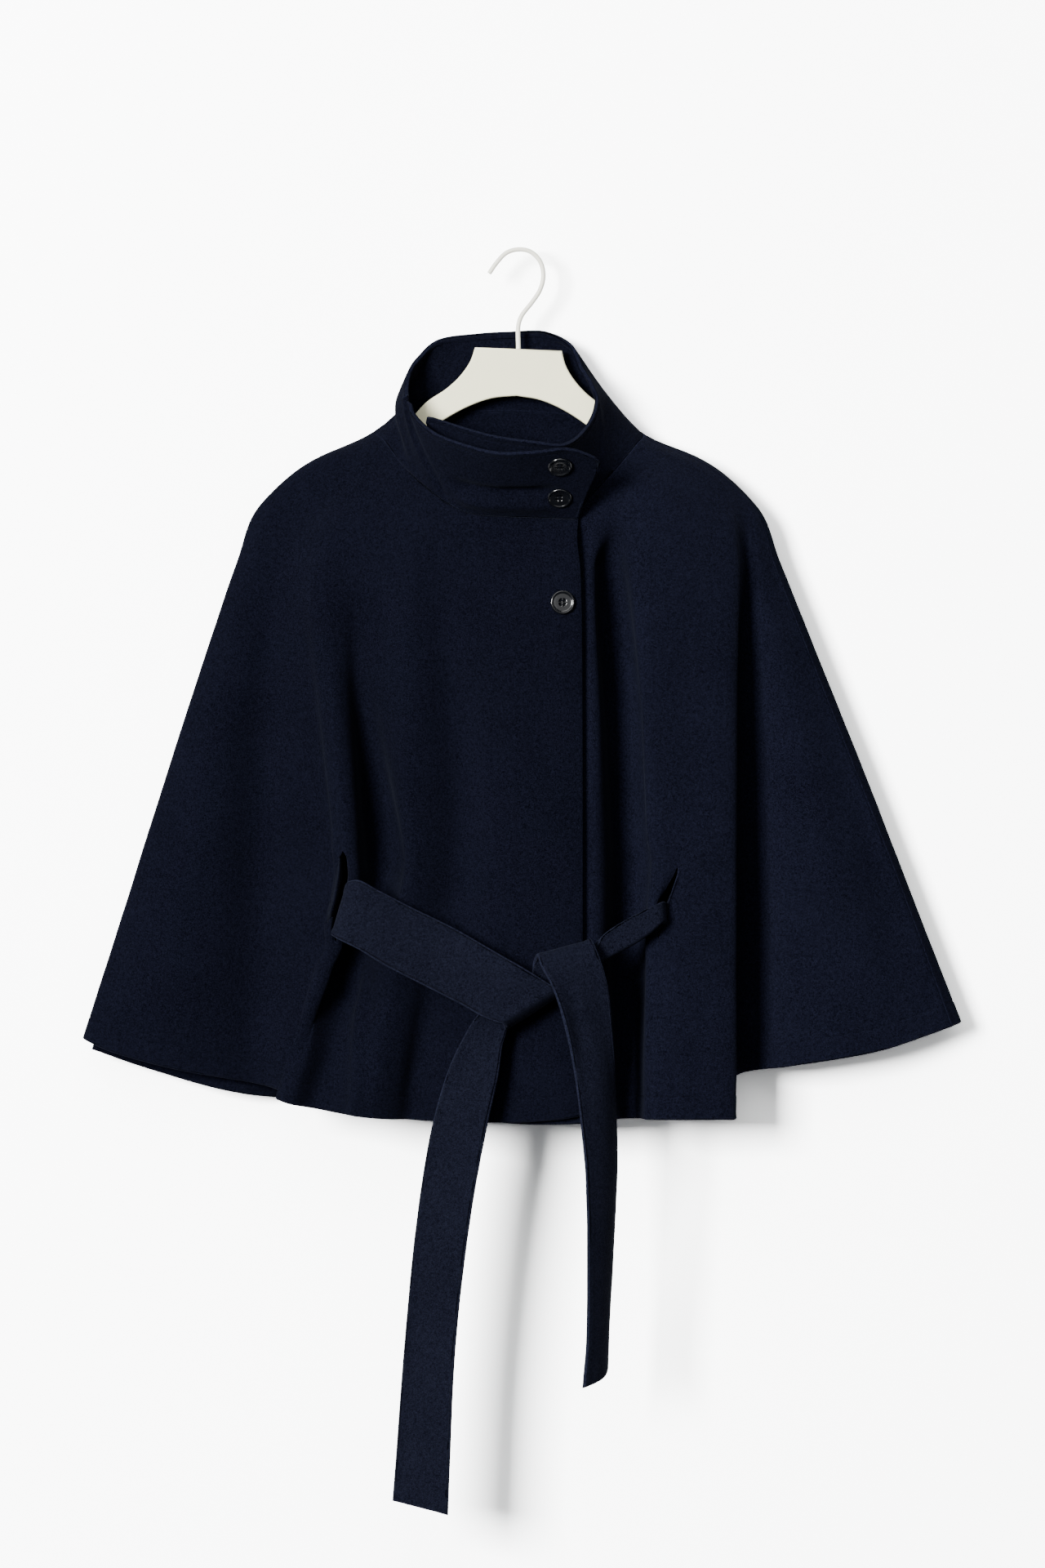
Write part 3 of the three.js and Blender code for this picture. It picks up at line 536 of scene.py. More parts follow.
@dataclass
class ClothShell:
    """A thin sheet with soft round edges, from the grid of its outer points.

    grid is the outer side in millimetres, wall the sheet's thickness, cut a slit in it and normals the
    outward directions where they aren't the grid's own. groove is how deep the rim is parted along its
    middle, where two layers of cloth meet, and groove_spread how wide, as an angle round the rim.
    """

    grid: Array
    wall: float
    cut: Cut | None = None
    normals: Array | None = None
    rim_steps: int = 4
    groove: float = 0.0
    groove_spread: float = 0.34

    def build(self) -> tuple[Array, list[tuple[int, ...]], Array]:
        """Makes the closed sheet.

        Returns:
            Its points in millimetres, its faces, and 1 for each point of the rim and 0 for the others.
        """
        rows, columns = self.grid.shape[:2]
        points = self.grid.reshape(-1, 3).copy()
        own = grid_normals(self.grid) if self.normals is None else self.normals
        normals = own.reshape(-1, 3).copy()
        index = np.arange(rows * columns).reshape(rows, columns)
        far = index.copy()
        if self.cut:
            points, normals, far = self._part(points, normals, index)
        faces = []
        for row in range(rows - 1):
            for column in range(columns - 1):
                left = far if self.cut and column == self.cut.column else index
                nearer = left[row, column], left[row + 1, column]
                faces.append((*nearer, index[row + 1, column + 1], index[row, column + 1]))
        faces = [tuple(int(i) for i in face) for face in faces]
        return self._close(points, normals, faces)

    def _part(self, points: Array, normals: Array, index: Array) -> tuple[Array, Array, Array]:
        """Doubles the points of the slit and moves its lips apart."""
        cut = self.cut
        inner = index[cut.first + 1 : cut.last, cut.column]
        far = index.copy()
        far[cut.first + 1 : cut.last, cut.column] = len(points) + np.arange(len(inner))
        doubled = points[inner].copy()
        left, right = cut.slit.edge(doubled[:, 2], 1), cut.slit.edge(doubled[:, 2], 2)
        swell = (right - left) / np.max(right - left)
        points[inner, 0] = left
        points[inner, 1] += cut.slit.left_back * swell
        doubled[:, 0] = right
        doubled[:, 1] += cut.slit.right_back * swell
        return np.vstack([points, doubled]), np.vstack([normals, normals[inner]]), far

    def _close(self, points: Array, normals: Array, faces: list) -> tuple[Array, list, Array]:
        """Adds the inner side and the round rim along every open edge."""
        edges = {}
        for face in faces:
            for start, end in zip(face, face[1:] + face[:1]):
                edges[(start, end)] = True
        border = [edge for edge in edges if (edge[1], edge[0]) not in edges]
        outward = np.zeros_like(points)
        for start, end in border:
            away = np.cross(points[end] - points[start], normals[start])
            length = np.linalg.norm(away)
            if length > 1e-9:
                outward[start] += away / length
                outward[end] += away / length
        brink = sorted({i for edge in border for i in edge})
        outward[brink] = unit(outward[brink])
        radius = self.wall / 2
        points[brink] -= outward[brink] * radius
        count = len(points)
        rings = [points, points - normals * self.wall]
        ring_of = {i: [i] for i in brink}
        for step in range(1, self.rim_steps):
            angle = math.pi * step / self.rim_steps
            out, back = radius * math.sin(angle), radius * (1 - math.cos(angle))
            out -= self.groove * float(bell(angle, math.pi / 2, self.groove_spread))
            base = 2 * count + (step - 1) * len(brink)
            rings.append(points[brink] + outward[brink] * out - normals[brink] * back)
            for place, i in enumerate(brink):
                ring_of[i].append(base + place)
        for i in brink:
            ring_of[i].append(i + count)
        closed = list(faces) + [tuple(i + count for i in reversed(face)) for face in faces]
        for start, end in border:
            for step in range(self.rim_steps):
                a, b = ring_of[start], ring_of[end]
                closed.append((b[step], a[step], a[step + 1], b[step + 1]))
        every = np.vstack(rings)
        on_rim = np.concatenate([np.zeros(2 * count), np.ones(len(every) - 2 * count)])
        return every, closed, on_rim


def add_object(name: str, data: bpy.types.ID) -> bpy.types.Object:
    """Makes an object of a mesh, lamp or camera and puts it in the scene."""
    obj = bpy.data.objects.new(name, data)
    bpy.context.scene.collection.objects.link(obj)
    return obj


def smooth_object(
    name: str, points: Array, faces: list, material: bpy.types.Material, on_rim: Array | None = None
) -> bpy.types.Object:
    """Makes a mesh object, in place and shaded smooth.

    Args:
        name: The piece's name.
        points: Its points in millimetres.
        faces: Its faces, outwards.
        material: Its finish.
        on_rim: 1 for each point of a cloth's rim, kept as the attribute that the wool reads for its painted
            rim highlight.

    Returns:
        The new object.
    """
    mesh = bpy.data.meshes.new(name)
    mesh.from_pydata((np.asarray(points) * MM).tolist(), [], faces)
    mesh.validate()
    mesh.polygons.foreach_set("use_smooth", [True] * len(mesh.polygons))
    mesh.materials.append(material)
    if on_rim is not None:
        mesh.attributes.new(RIM, "FLOAT", "POINT").data.foreach_set("value", on_rim.astype(np.float32))
    return add_object(name, mesh)


def hang(obj: bpy.types.Object, slot: Slot, *nodes: str) -> bpy.types.Object:
    """Ties a finished piece to the body and hides the nodes it stands for."""
    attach(obj, BODY)
    if nodes:
        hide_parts(*nodes)
    LOG.info("%s: %d faces, stands for %s", obj.name, len(obj.data.polygons), ", ".join(nodes) or "nothing")
    return obj


class Shade:
    """A node's output socket that adds Math nodes when it is used in arithmetic."""

    def __init__(self, kit: "NodeKit", socket: bpy.types.NodeSocket) -> None:
        """Keeps the socket and the tree it belongs to."""
        self.kit = kit
        self.socket = socket

    def __add__(self, other: "Shade | float") -> "Shade":
        """The sum."""
        return self.kit.math("ADD", self, other)

    __radd__ = __add__

    def __mul__(self, other: "Shade | float") -> "Shade":
        """The product."""
        return self.kit.math("MULTIPLY", self, other)

    __rmul__ = __mul__


class TreeKit:
    """A node tree, built one node at a time."""

    tree: bpy.types.NodeTree

    def node(self, kind: str, settings: dict | None = None, inputs: dict | None = None) -> bpy.types.Node:
        """Adds a node.

        Args:
            kind: The node's type.
            settings: Its properties.
            inputs: Values or links of its sockets, by name or number.

        Returns:
            The new node.
        """
        node = self.tree.nodes.new(kind)
        for key, value in (settings or {}).items():
            setattr(node, key, value)
        for key, value in (inputs or {}).items():
            value = value.socket if isinstance(value, Shade) else value
            if isinstance(value, bpy.types.NodeSocket):
                self.tree.links.new(value, node.inputs[key])
            else:
                node.inputs[key].default_value = value
        return node


class NodeKit(TreeKit):
    """A material's node tree."""

    def __init__(self, name: str) -> None:
        """Starts an empty material."""
        self.material = bpy.data.materials.new(name)
        self.material.use_nodes = True
        self.tree = self.material.node_tree
        self.tree.nodes.clear()

    def math(self, operation: str, first: "Shade | float", second: "Shade | float") -> Shade:
        """A Math node on two values."""
        node = self.node("ShaderNodeMath", {"operation": operation}, {0: first, 1: second})
        return Shade(self, node.outputs[0])

    def place(self) -> Shade:
        """The point's place on the piece."""
        return Shade(self, self.node("ShaderNodeTexCoord").outputs["Object"])

    def grain(self, scale: float, detail: float, roughness: float = 0.5) -> Shade:
        """Soft noise of the given number of spots a metre, from 0 to 1."""
        node = self.node(
            "ShaderNodeTexNoise",
            inputs={"Vector": self.place(), "Scale": scale, "Detail": detail, "Roughness": roughness},
        )
        return Shade(self, node.outputs["Fac"])

    def blend(self, share: Shade, low: Sequence[float], high: Sequence[float]) -> Shade:
        """A mix of two colours by share."""
        node = self.node(
            "ShaderNodeMix",
            {"data_type": "RGBA"},
            {0: share, 6: (*low, 1.0), 7: (*high, 1.0)},
        )
        return Shade(self, node.outputs[2])

    def painted(self, name: str) -> Shade:
        """The value of the mesh's own attribute, 0 where it has none."""
        return Shade(self, self.node("ShaderNodeAttribute", {"attribute_name": name}).outputs["Fac"])

    def scaled(self, colour: Shade, factor: Shade) -> Shade:
        """A colour made lighter or darker by a factor."""
        node = self.node("ShaderNodeVectorMath", {"operation": "SCALE"}, {0: colour, "Scale": factor})
        return Shade(self, node.outputs[0])

    def clamp(self, value: Shade, low: float, high: float) -> Shade:
        """The value mapped from low-high to 0-1, and held there."""
        node = self.node(
            "ShaderNodeMapRange",
            {"clamp": True},
            {"Value": value, "From Min": low, "From Max": high},
        )
        return Shade(self, node.outputs["Result"])

    def bump(self, height: Shade, distance: float, strength: float, after: Shade | None = None) -> Shade:
        """A Bump node over another one."""
        inputs = {"Height": height, "Distance": distance, "Strength": strength}
        if after:
            inputs["Normal"] = after
        return Shade(self, self.node("ShaderNodeBump", inputs=inputs).outputs["Normal"])

    def finish(self, inputs: dict) -> bpy.types.Material:
        """Ends the tree in a Principled shader with these sockets."""
        shader = self.node("ShaderNodeBsdfPrincipled", inputs=inputs)
        surface = Shade(self, shader.outputs[0])
        self.node("ShaderNodeOutputMaterial", inputs={"Surface": surface})
        return self.material


@dataclass(frozen=True)
class WoolMelton:
    """Firm navy wool, felted with a raised nap: a fine speckle of fibres, a soft nap and a dull sheen.

    shares weigh fibres, nap and slow clouds in the speckle, and contrast is the part of it that is spread
    from dark to light. Along the cloth's rims the colour is made lighter: a painted highlight where the
    edges catch the light.
    """

    name: str = "navy_wool"
    gain: float = 1.0
    dark: tuple[float, float, float] = (0.0007, 0.0008, 0.0019)
    light: tuple[float, float, float] = (0.0042, 0.0048, 0.0106)
    rim_painted_highlight: float = 0.8
    fibres_a_metre: float = 1400.0
    nap_a_metre: float = 420.0
    shares: tuple[float, float, float] = (0.74, 0.2, 0.06)
    contrast: tuple[float, float] = (0.43, 0.57)
    fibre_height: float = 0.0004
    nap_height: float = 0.0006

    def material(self) -> bpy.types.Material:
        """Builds the finish."""
        kit = NodeKit(self.name)
        fibre = kit.grain(self.fibres_a_metre, 4, 0.7)
        nap = kit.grain(self.nap_a_metre, 3, 0.6)
        cloud = kit.grain(14, 3)
        fibre_share, nap_share, cloud_share = self.shares
        speckle = kit.clamp(fibre * fibre_share + nap * nap_share + cloud * cloud_share, *self.contrast)
        low, high = (tuple(c * self.gain for c in shade) for shade in (self.dark, self.light))
        # Painted highlight: the colour is lightened along the cloth's rims, where the edges catch the light.
        colour = kit.scaled(kit.blend(speckle, low, high), 1.0 + kit.painted(RIM) * self.rim_painted_highlight)
        soft = kit.bump(nap, self.nap_height, 0.5)
        rough = kit.bump(fibre, self.fibre_height, 0.7, soft)
        return kit.finish(
            {
                "Base Color": colour,
                "Roughness": 0.95,
                "Specular IOR Level": 0.01,
                "Sheen Weight": 0.02,
                "Sheen Roughness": 0.5,
                "Sheen Tint": (0.44, 0.50, 0.74, 1.0),
                "Normal": rough,
            }
        )


@dataclass(frozen=True)
class SewingThread:
    """Matt navy thread."""

    name: str = "navy_thread"
    colour: tuple[float, float, float] = (0.0020, 0.0023, 0.0048)

    def material(self) -> bpy.types.Material:
        """Builds the finish."""
        kit = NodeKit(self.name)
        twist = kit.grain(2400, 2)
        shade = kit.blend(twist, tuple(c * 0.6 for c in self.colour), tuple(c * 1.8 for c in self.colour))
        twisted = kit.bump(twist, 0.0001, 0.5)
        return kit.finish(
            {"Base Color": shade, "Roughness": 0.8, "Specular IOR Level": 0.05, "Normal": twisted}
        )


@dataclass(frozen=True)
class PolishedButton:
    """Dark blue-grey moulded button, polished, with a faint marbling."""

    name: str = "dark_button"
    dark: tuple[float, float, float] = (0.0014, 0.0016, 0.0026)
    light: tuple[float, float, float] = (0.0030, 0.0035, 0.0050)

    def material(self) -> bpy.types.Material:
        """Builds the finish."""
        kit = NodeKit(self.name)
        marble = kit.clamp(kit.grain(120, 4, 0.6), 0.38, 0.68)
        scuff = kit.grain(900, 2)
        return kit.finish(
            {
                "Base Color": kit.blend(marble, self.dark, self.light),
                "Roughness": 0.16 + scuff * 0.08,
                "Coat Weight": 0.3,
                "Coat Roughness": 0.08,
                "Normal": kit.bump(scuff, 0.00005, 0.3),
            }
        )


@dataclass(frozen=True)
class SatinPlastic:
    """Cream moulded plastic with a satin skin."""

    name: str = "cream_plastic"
    colour: tuple[float, float, float] = (0.90, 0.875, 0.60)
    roughness: float = 0.42

    def material(self) -> bpy.types.Material:
        """Builds the finish."""
        kit = NodeKit(self.name)
        cloud = kit.grain(22, 3)
        skin = kit.grain(1500, 2)
        low = tuple(c * 0.96 for c in self.colour)
        return kit.finish(
            {
                "Base Color": kit.blend(kit.clamp(cloud, 0.3, 0.7), low, self.colour),
                "Roughness": self.roughness + cloud * 0.1,
                "Normal": kit.bump(skin, 0.00004, 0.35),
            }
        )


@dataclass
class Finishes:
    """The coat's materials, each built once. Two are lighter copies of the same wool, with painted light."""

    wool: bpy.types.Material = field(default_factory=lambda: WoolMelton("navy_wool", 0.95).material())
    # A lighter copy of the same wool for the left front: painted light, standing in for the brighter light on
    # that panel.
    left_front_painted_light_wool: bpy.types.Material = field(
        default_factory=lambda: WoolMelton("navy_wool_left_front_painted_light", 1.3).material()
    )
    smooth: bpy.types.Material = field(
        default_factory=lambda: WoolMelton("navy_wool_smooth", 0.95).material()
    )
    # A lighter copy of the same wool for the belt: painted light, standing in for the brighter light that the
    # belt catches.
    belt_painted_light_wool: bpy.types.Material = field(
        default_factory=lambda: WoolMelton(
            "navy_wool_belt_painted_light", 1.55, light=(0.0042, 0.0048, 0.0094)
        ).material()
    )
    thread: bpy.types.Material = field(default_factory=lambda: SewingThread().material())
    button: bpy.types.Material = field(default_factory=lambda: PolishedButton().material())
    hanger: bpy.types.Material = field(default_factory=lambda: SatinPlastic().material())
    hook: bpy.types.Material = field(
        default_factory=lambda: SatinPlastic("cream_coated_wire", (0.90, 0.88, 0.76), 0.34).material()
    )


class PathTree(TreeKit):
    """A Geometry Nodes tree that makes something along a path."""

    def __init__(self, name: str, values: Sequence[str]) -> None:
        """Starts a tree with a path and the named values going in and a mesh coming out."""
        self.tree = bpy.data.node_groups.new(name, "GeometryNodeTree")
        face = self.tree.interface
        face.new_socket(name="Path", in_out="INPUT", socket_type="NodeSocketGeometry")
        for label in values:
            face.new_socket(name=label, in_out="INPUT", socket_type="NodeSocketFloat")
        face.new_socket(name="Mesh", in_out="OUTPUT", socket_type="NodeSocketGeometry")
        self.source = self.node("NodeGroupInput")
        self.line = self.node("GeometryNodeMeshToCurve", inputs={"Mesh": self.source.outputs["Path"]})

    def finish(self, geometry: bpy.types.NodeSocket, material: bpy.types.Material) -> bpy.types.NodeTree:
        """Makes the geometry real, gives it its material and ends the tree."""
        real = self.node("GeometryNodeRealizeInstances", inputs={"Geometry": geometry})
        paint = self.node(
            "GeometryNodeSetMaterial", inputs={"Geometry": real.outputs["Geometry"], "Material": material}
        )
        self.node("NodeGroupOutput", inputs={"Mesh": paint.outputs["Geometry"]})
        return self.tree


@dataclass
class StitchRow:
    """A row of stitches along a path, made by Geometry Nodes.

    pitch is the distance from stitch to stitch, length and width a stitch's own size, all in millimetres.
    smallest and largest bound the random scale of a stitch.
    """

    name: str
    pitch: float = 3.2
    length: float = 2.4
    width: float = 0.55
    smallest: tuple[float, float, float] = (0.88, 0.9, 0.9)
    largest: tuple[float, float, float] = (1.08, 1.1, 1.1)
    seed: int = 7

    def tree(self, material: bpy.types.Material) -> bpy.types.NodeTree:
        """Builds the node tree: a path in, stitches out."""
        kit = PathTree(f"{self.name}_tree", ("Pitch", "Length", "Width"))
        given = kit.source.outputs
        spread = kit.node(
            "GeometryNodeResampleCurve",
            {"mode": "LENGTH"},
            {"Curve": kit.line.outputs["Curve"], "Length": given["Pitch"]},
        )
        bead = kit.node("GeometryNodeMeshIcoSphere", inputs={"Radius": 0.5, "Subdivisions": 2})
        size = kit.node(
            "ShaderNodeCombineXYZ", inputs={"X": given["Length"], "Y": given["Width"], "Z": given["Width"]}
        )
        stretch = kit.node(
            "GeometryNodeTransform",
            inputs={"Geometry": bead.outputs["Mesh"], "Scale": size.outputs["Vector"]},
        )
        tangent = kit.node("GeometryNodeInputTangent")
        turn = kit.node("FunctionNodeAlignRotationToVector", inputs={"Vector": tangent.outputs["Tangent"]})
        jitter = kit.node(
            "FunctionNodeRandomValue",
            {"data_type": "FLOAT_VECTOR"},
            {"Min": self.smallest, "Max": self.largest, "Seed": self.seed},
        )
        place = kit.node(
            "GeometryNodeInstanceOnPoints",
            inputs={
                "Points": spread.outputs["Curve"],
                "Instance": stretch.outputs["Geometry"],
                "Rotation": turn.outputs["Rotation"],
                "Scale": jitter.outputs["Value"],
            },
        )
        return kit.finish(place.outputs["Instances"], material)

    def sew(self, path: Array, material: bpy.types.Material) -> bpy.types.Object:
        """Sews the row.

        Args:
            path: The row's points in millimetres, on the cloth.
            material: The thread's finish.

        Returns:
            The stitches as one plain mesh.
        """
        values = {"Pitch": self.pitch, "Length": self.length, "Width": self.width}
        return solid_from_path(self.name, path, self.tree(material), values)


def solid_from_path(
    name: str, path: Array, tree: bpy.types.NodeTree, values: dict[str, float]
) -> bpy.types.Object:
    """Turns what a Geometry Nodes tree makes along a path into a plain mesh object.

    Args:
        name: The new object's name.
        path: The path's points in millimetres.
        tree: The tree, with a path in and a mesh out.
        values: The tree's other inputs by name, in millimetres.

    Returns:
        The plain object.
    """
    line = bpy.data.meshes.new(f"{name}_guide")
    line.from_pydata((path * MM).tolist(), [(i, i + 1) for i in range(len(path) - 1)], [])
    guide = add_object(f"{name}_guide", line)
    modifier = guide.modifiers.new("along_path", "NODES")
    modifier.node_group = tree
    for item in tree.interface.items_tree:
        if item.item_type == "SOCKET" and item.in_out == "INPUT" and item.name in values:
            modifier[item.identifier] = values[item.name] * MM
    guide.update_tag()
    bpy.context.view_layer.update()
    graph = bpy.context.evaluated_depsgraph_get()
    mesh = bpy.data.meshes.new_from_object(guide.evaluated_get(graph))
    mesh.name = name
    mesh.polygons.foreach_set("use_smooth", [True] * len(mesh.polygons))
    guide.modifiers.clear()
    bpy.data.objects.remove(guide)
    return add_object(name, mesh)


@dataclass
class CoatForm:
    """The curves that the collar and the panels share."""

    def ring(self, which: str) -> Array:
        """The collar's seam points or edge points, set in where a layer lies underneath."""
        points = []
        for row in COLLAR:
            x, depth, z = getattr(row, which)
            away = unit(np.array([x - COLLAR_AXIS[0], -depth + COLLAR_AXIS[1], 0.0]))
            points.append(np.array(at(x, depth, z)) - away * row.inset)
        return np.array(points)

    def collar_point(self, along: Array, up: Array) -> Array:
        """Points of the collar's outside.

        Args:
            along: Positions along the collar, counting its rows.
            up: A grid of heights from 0 at the seam to 1 at the edge, with a column for each position.

        Returns:
            The points, as a grid.
        """
        base, top = curve(self.ring("base"), along), curve(self.ring("top"), along)
        bulge = curve(np.array([[row.bulge, 0.0, 0.0] for row in COLLAR]), along)[:, 0]
        grid = base[None] + (top - base)[None] * up[..., None]
        away = grid - np.array([COLLAR_AXIS[0], -COLLAR_AXIS[1], 0.0])
        away[..., 2] = 0
        grid = grid + unit(away) * (bulge[None] * 4 * up * (1 - up))[..., None]
        grid[..., 2] -= NECK_LAP * (1 - up)
        return grid

    def line_points(self, line: PanelLine, neck: tuple[int, int]) -> Array:
        """The five level points of a measured line, from the neck seam to the hem."""
        first, last = neck
        start = curve(self.ring("base"), np.array([first + (last - first) * line.neck]))[0]
        tip, chest = min(TIP_Z, start[2] - TIP_BELOW_NECK), min(CHEST_Z, start[2] - CHEST_BELOW_NECK)
        heights = (tip, chest, WAIST_Z, line.hem_z)
        levels = [at(x, depth, z) for x, depth, z in zip(line.x, line.depth, heights)]
        return np.array([start, *levels], float)

    def panel_grid(
        self, lines: Sequence[PanelLine], neck: tuple[int, int], heights: Array, columns: Array
    ) -> Array:
        """A panel's outside points, one row for each height and one column for each position."""
        levels = np.stack([self.line_points(line, neck) for line in lines], axis=1)
        down = curve(levels, heights)
        run = np.abs(levels[1, :, 0] - levels[0, :, 0])
        down[..., 2] += SHOULDER_BOW * run * np.sin(math.pi * np.minimum(heights, 1))[:, None] ** 2
        return np.stack([curve(row, columns) for row in down])


@dataclass
class Panel:
    """A hanging panel of the coat: its measured lines, its share of the neck seam and its folds.

    spacing is the distance between two points of its grid, skirt_rows counts the rows from the slit down
    to the hem, and hem_rows are the last rows' distances above the hem, close together where the turning
    is sewn. The turning stands turning_height proud, and its thread sinks hem_groove into the cloth.
    """

    name: str
    node: str
    lines: Sequence[PanelLine]
    neck: tuple[int, int]
    creases: Sequence[Crease]
    flat: tuple[float, float]
    area: float
    seed: float
    slit: Slit | None = None
    spacing: float = 4.2
    turning_height: float = 0.35
    hem_groove: float = 0.55
    skirt_rows: int = 24
    hem_rows: tuple[float, ...] = (
        40, 34, 29, 25.5, 23.4, 22.4, 21.8, 21.2, 20.6, 20, 19, 16.5, 13, 9.5, 6, 3.5, 1.8, 0.8, 0,
    )

    def columns(self, form: CoatForm) -> Array:
        """Positions across the panel, evenly spread between each two lines."""
        waist = np.array([form.line_points(line, self.neck)[3] for line in self.lines])
        gaps = np.linalg.norm(np.diff(waist, axis=0), axis=1)
        parts = [
            np.linspace(k, k + 1, max(4, round(gap / self.spacing)), endpoint=False)
            for k, gap in enumerate(gaps)
        ]
        return np.concatenate([*parts, [len(self.lines) - 1.0]])

    def heights(self) -> tuple[Array, int]:
        """Positions down the panel, and the number of the first row below the band that holds the slit."""
        low, high = SLIT_BAND
        bands = ((0, 1, 20), (1, 2, 14), (2, low, 62), (low, high, 34), (high, 4, 40))
        parts = [np.linspace(start, end, rows, endpoint=False) for start, end, rows in bands]
        return np.concatenate([*parts, [4.0]]), sum(rows for _, _, rows in bands[:4])

    def even_hem(self, grid: Array, keep: int) -> Array:
        """Spreads the rows below number keep again, so that the last ones follow the hem."""
        head, body = grid[: keep + 1], grid[keep:]
        below = run_along(body, 0)
        total = below[-1]
        rows = [(total - self.hem_rows[0]) * k / self.skirt_rows for k in range(1, self.skirt_rows)]
        rows += [total - above for above in self.hem_rows]
        wanted = np.array(rows)
        tail = np.empty((len(rows), grid.shape[1], 3))
        for column in range(grid.shape[1]):
            for axis in range(3):
                tail[:, column, axis] = np.interp(wanted[:, column], below[:, column], body[:, column, axis])
        return np.concatenate([head, tail])

    def above_hem(self, grid: Array) -> Array:
        """Each point's distance above the hem, along its column."""
        total = run_along(grid, 0)
        return total[-1] - total

    def relief(self, grid: Array) -> Array:
        """Heights of the folds, the slow waves and the sewn hem."""
        above = self.above_hem(grid)
        heights = crease_heights(grid, self.creases)
        heights += slow_waves(grid, PANEL_WAVES, self.seed)
        heights += self.turning_height * (1 - smooth_step(HEM_TURNING - 2, HEM_TURNING + 1, above))
        heights -= self.hem_groove * bell(above, HEM_TURNING, GROOVE_WIDTH)
        return heights

    def grid(self, form: CoatForm) -> tuple[Array, Cut | None]:
        """The panel's outside points before its folds, and its slit."""
        heights, below_slit = self.heights()
        columns = self.columns(form)
        grid = self.even_hem(form.panel_grid(self.lines, self.neck, heights, columns), below_slit)
        if self.slit is None:
            return grid, None
        line = next(k for k, row in enumerate(self.lines) if row.at == "belt slit")
        column = int(np.argmin(np.abs(columns - line)))
        grid = self.slit.follow(grid, column)
        first, last = (int(np.argmin(np.abs(grid[:, column, 2] - self.slit.lips[k][0]))) for k in (0, -1))
        return grid, Cut(self.slit, column, first, last)


@dataclass
class CapeBody:
    """The cape's two fronts and its back, with the seams over the arms and the sewn hem."""

    finishes: Finishes
    form: CoatForm = field(default_factory=CoatForm)
    right: Panel = field(
        default_factory=lambda: Panel(
            "right_front_cloth", "right_front", RIGHT_FRONT[::-1], (0, SHOULDER_RIGHT),
            RIGHT_FRONT_CREASES, (0.42, 0.66), 0.238, 3.1, RIGHT_SLIT,
        )
    )
    left: Panel = field(
        default_factory=lambda: Panel(
            "left_front_cloth", "left_front", LEFT_FRONT[::-1], (SHOULDER_LEFT, len(COLLAR) - 1),
            LEFT_FRONT_CREASES, (0.45, 0.63), 0.234, 11.7, LEFT_SLIT,
        )
    )
    back: Panel = field(
        default_factory=lambda: Panel(
            "back_cloth", "back", BACK, (SHOULDER_RIGHT, SHOULDER_LEFT),
            BACK_CREASES, (0.80, 0.66), 0.378, 23.4,
        )
    )
    seam_blend: float = 9.0
    neck_blend: float = 14.0

    def seam_directions(self, front: Array, back: Array, side: int) -> Array:
        """Outward directions along an arm seam, from the cloth on both sides of it.

        Args:
            front: The front's seam column and the next one, as a list of two.
            back: The back's column next to the seam.
            side: 1 for the right front and -1 for the left one.

        Returns:
            One direction for each row.
        """
        down = np.gradient(front[0], axis=0)
        across = front[1] - back
        return unit(np.cross(down, across) * side)

    def build(self) -> None:
        """Makes the three panels and sews their hems."""
        grids, cuts = {}, {}
        for panel in (self.right, self.left, self.back):
            grids[panel.node], cuts[panel.node] = panel.grid(self.form)
        right, left, back = grids["right_front"], grids["left_front"], grids["back"]
        seams = {
            "right": self.seam_directions([right[:, 0], right[:, 2]], back[:, -3], 1),
            "left": self.seam_directions([left[:, -1], left[:, -3]], back[:, 2], -1),
        }
        plan = {
            "right_front": {0: seams["right"]},
            "left_front": {-1: seams["left"]},
            "back": {0: seams["left"], -1: seams["right"]},
        }
        for panel in (self.right, self.left, self.back):
            grid = grids[panel.node]
            normals = self.blend_normals(grid, plan[panel.node])
            heights = panel.relief(grid) * self.seam_fade(grid, plan[panel.node])
            heights *= smooth_step(0, self.neck_blend, run_along(grid, 0))
            grid = grid + normals * heights[..., None]
            self.dress(panel, grid, cuts[panel.node], normals)

    def from_seam(self, grid: Array, column: int) -> Array:
        """Each point's distance from a seam column, along its row."""
        total = run_along(grid, 1)
        return total if column == 0 else total[:, -1:] - total

    def seam_fade(self, grid: Array, seams: dict[int, Array]) -> Array:
        """0 at the seams and 1 away from them, so that both sides of a seam stay together."""
        fade = np.ones(grid.shape[:2])
        for column in seams:
            fade *= smooth_step(0, self.seam_blend * 2, self.from_seam(grid, column))
        return fade

    def blend_normals(self, grid: Array, seams: dict[int, Array]) -> Array:
        """The grid's outward directions, turned to the seam's own next to it."""
        normals = grid_normals(grid)
        for column, directions in seams.items():
            share = 1 - smooth_step(0, self.seam_blend, self.from_seam(grid, column))[..., None]
            normals = unit(normals * (1 - share) + directions[:, None] * share)
        return normals

    def dress(self, panel: Panel, grid: Array, cut: Cut | None, normals: Array) -> None:
        """Makes one panel's shell and the stitches along its hem."""
        points, faces, on_rim = ClothShell(grid, PANEL_WALL, cut, normals).build()
        # The left front takes the lighter copy of the wool, its painted light.
        wool = self.finishes.left_front_painted_light_wool if panel is self.left else self.finishes.wool
        cloth = hang(smooth_object(panel.name, points, faces, wool, on_rim), Slot.WOOL, panel.node)
        row = -1 - panel.hem_rows[::-1].index(HEM_THREAD)
        path = grid[row, 2:-2] - normals[row, 2:-2] * 0.05
        stitches = StitchRow(f"{panel.node}_hem_stitches", 4.2, 1.7, 0.42).sew(path, self.finishes.thread)
        hang(stitches, Slot.WOOL)


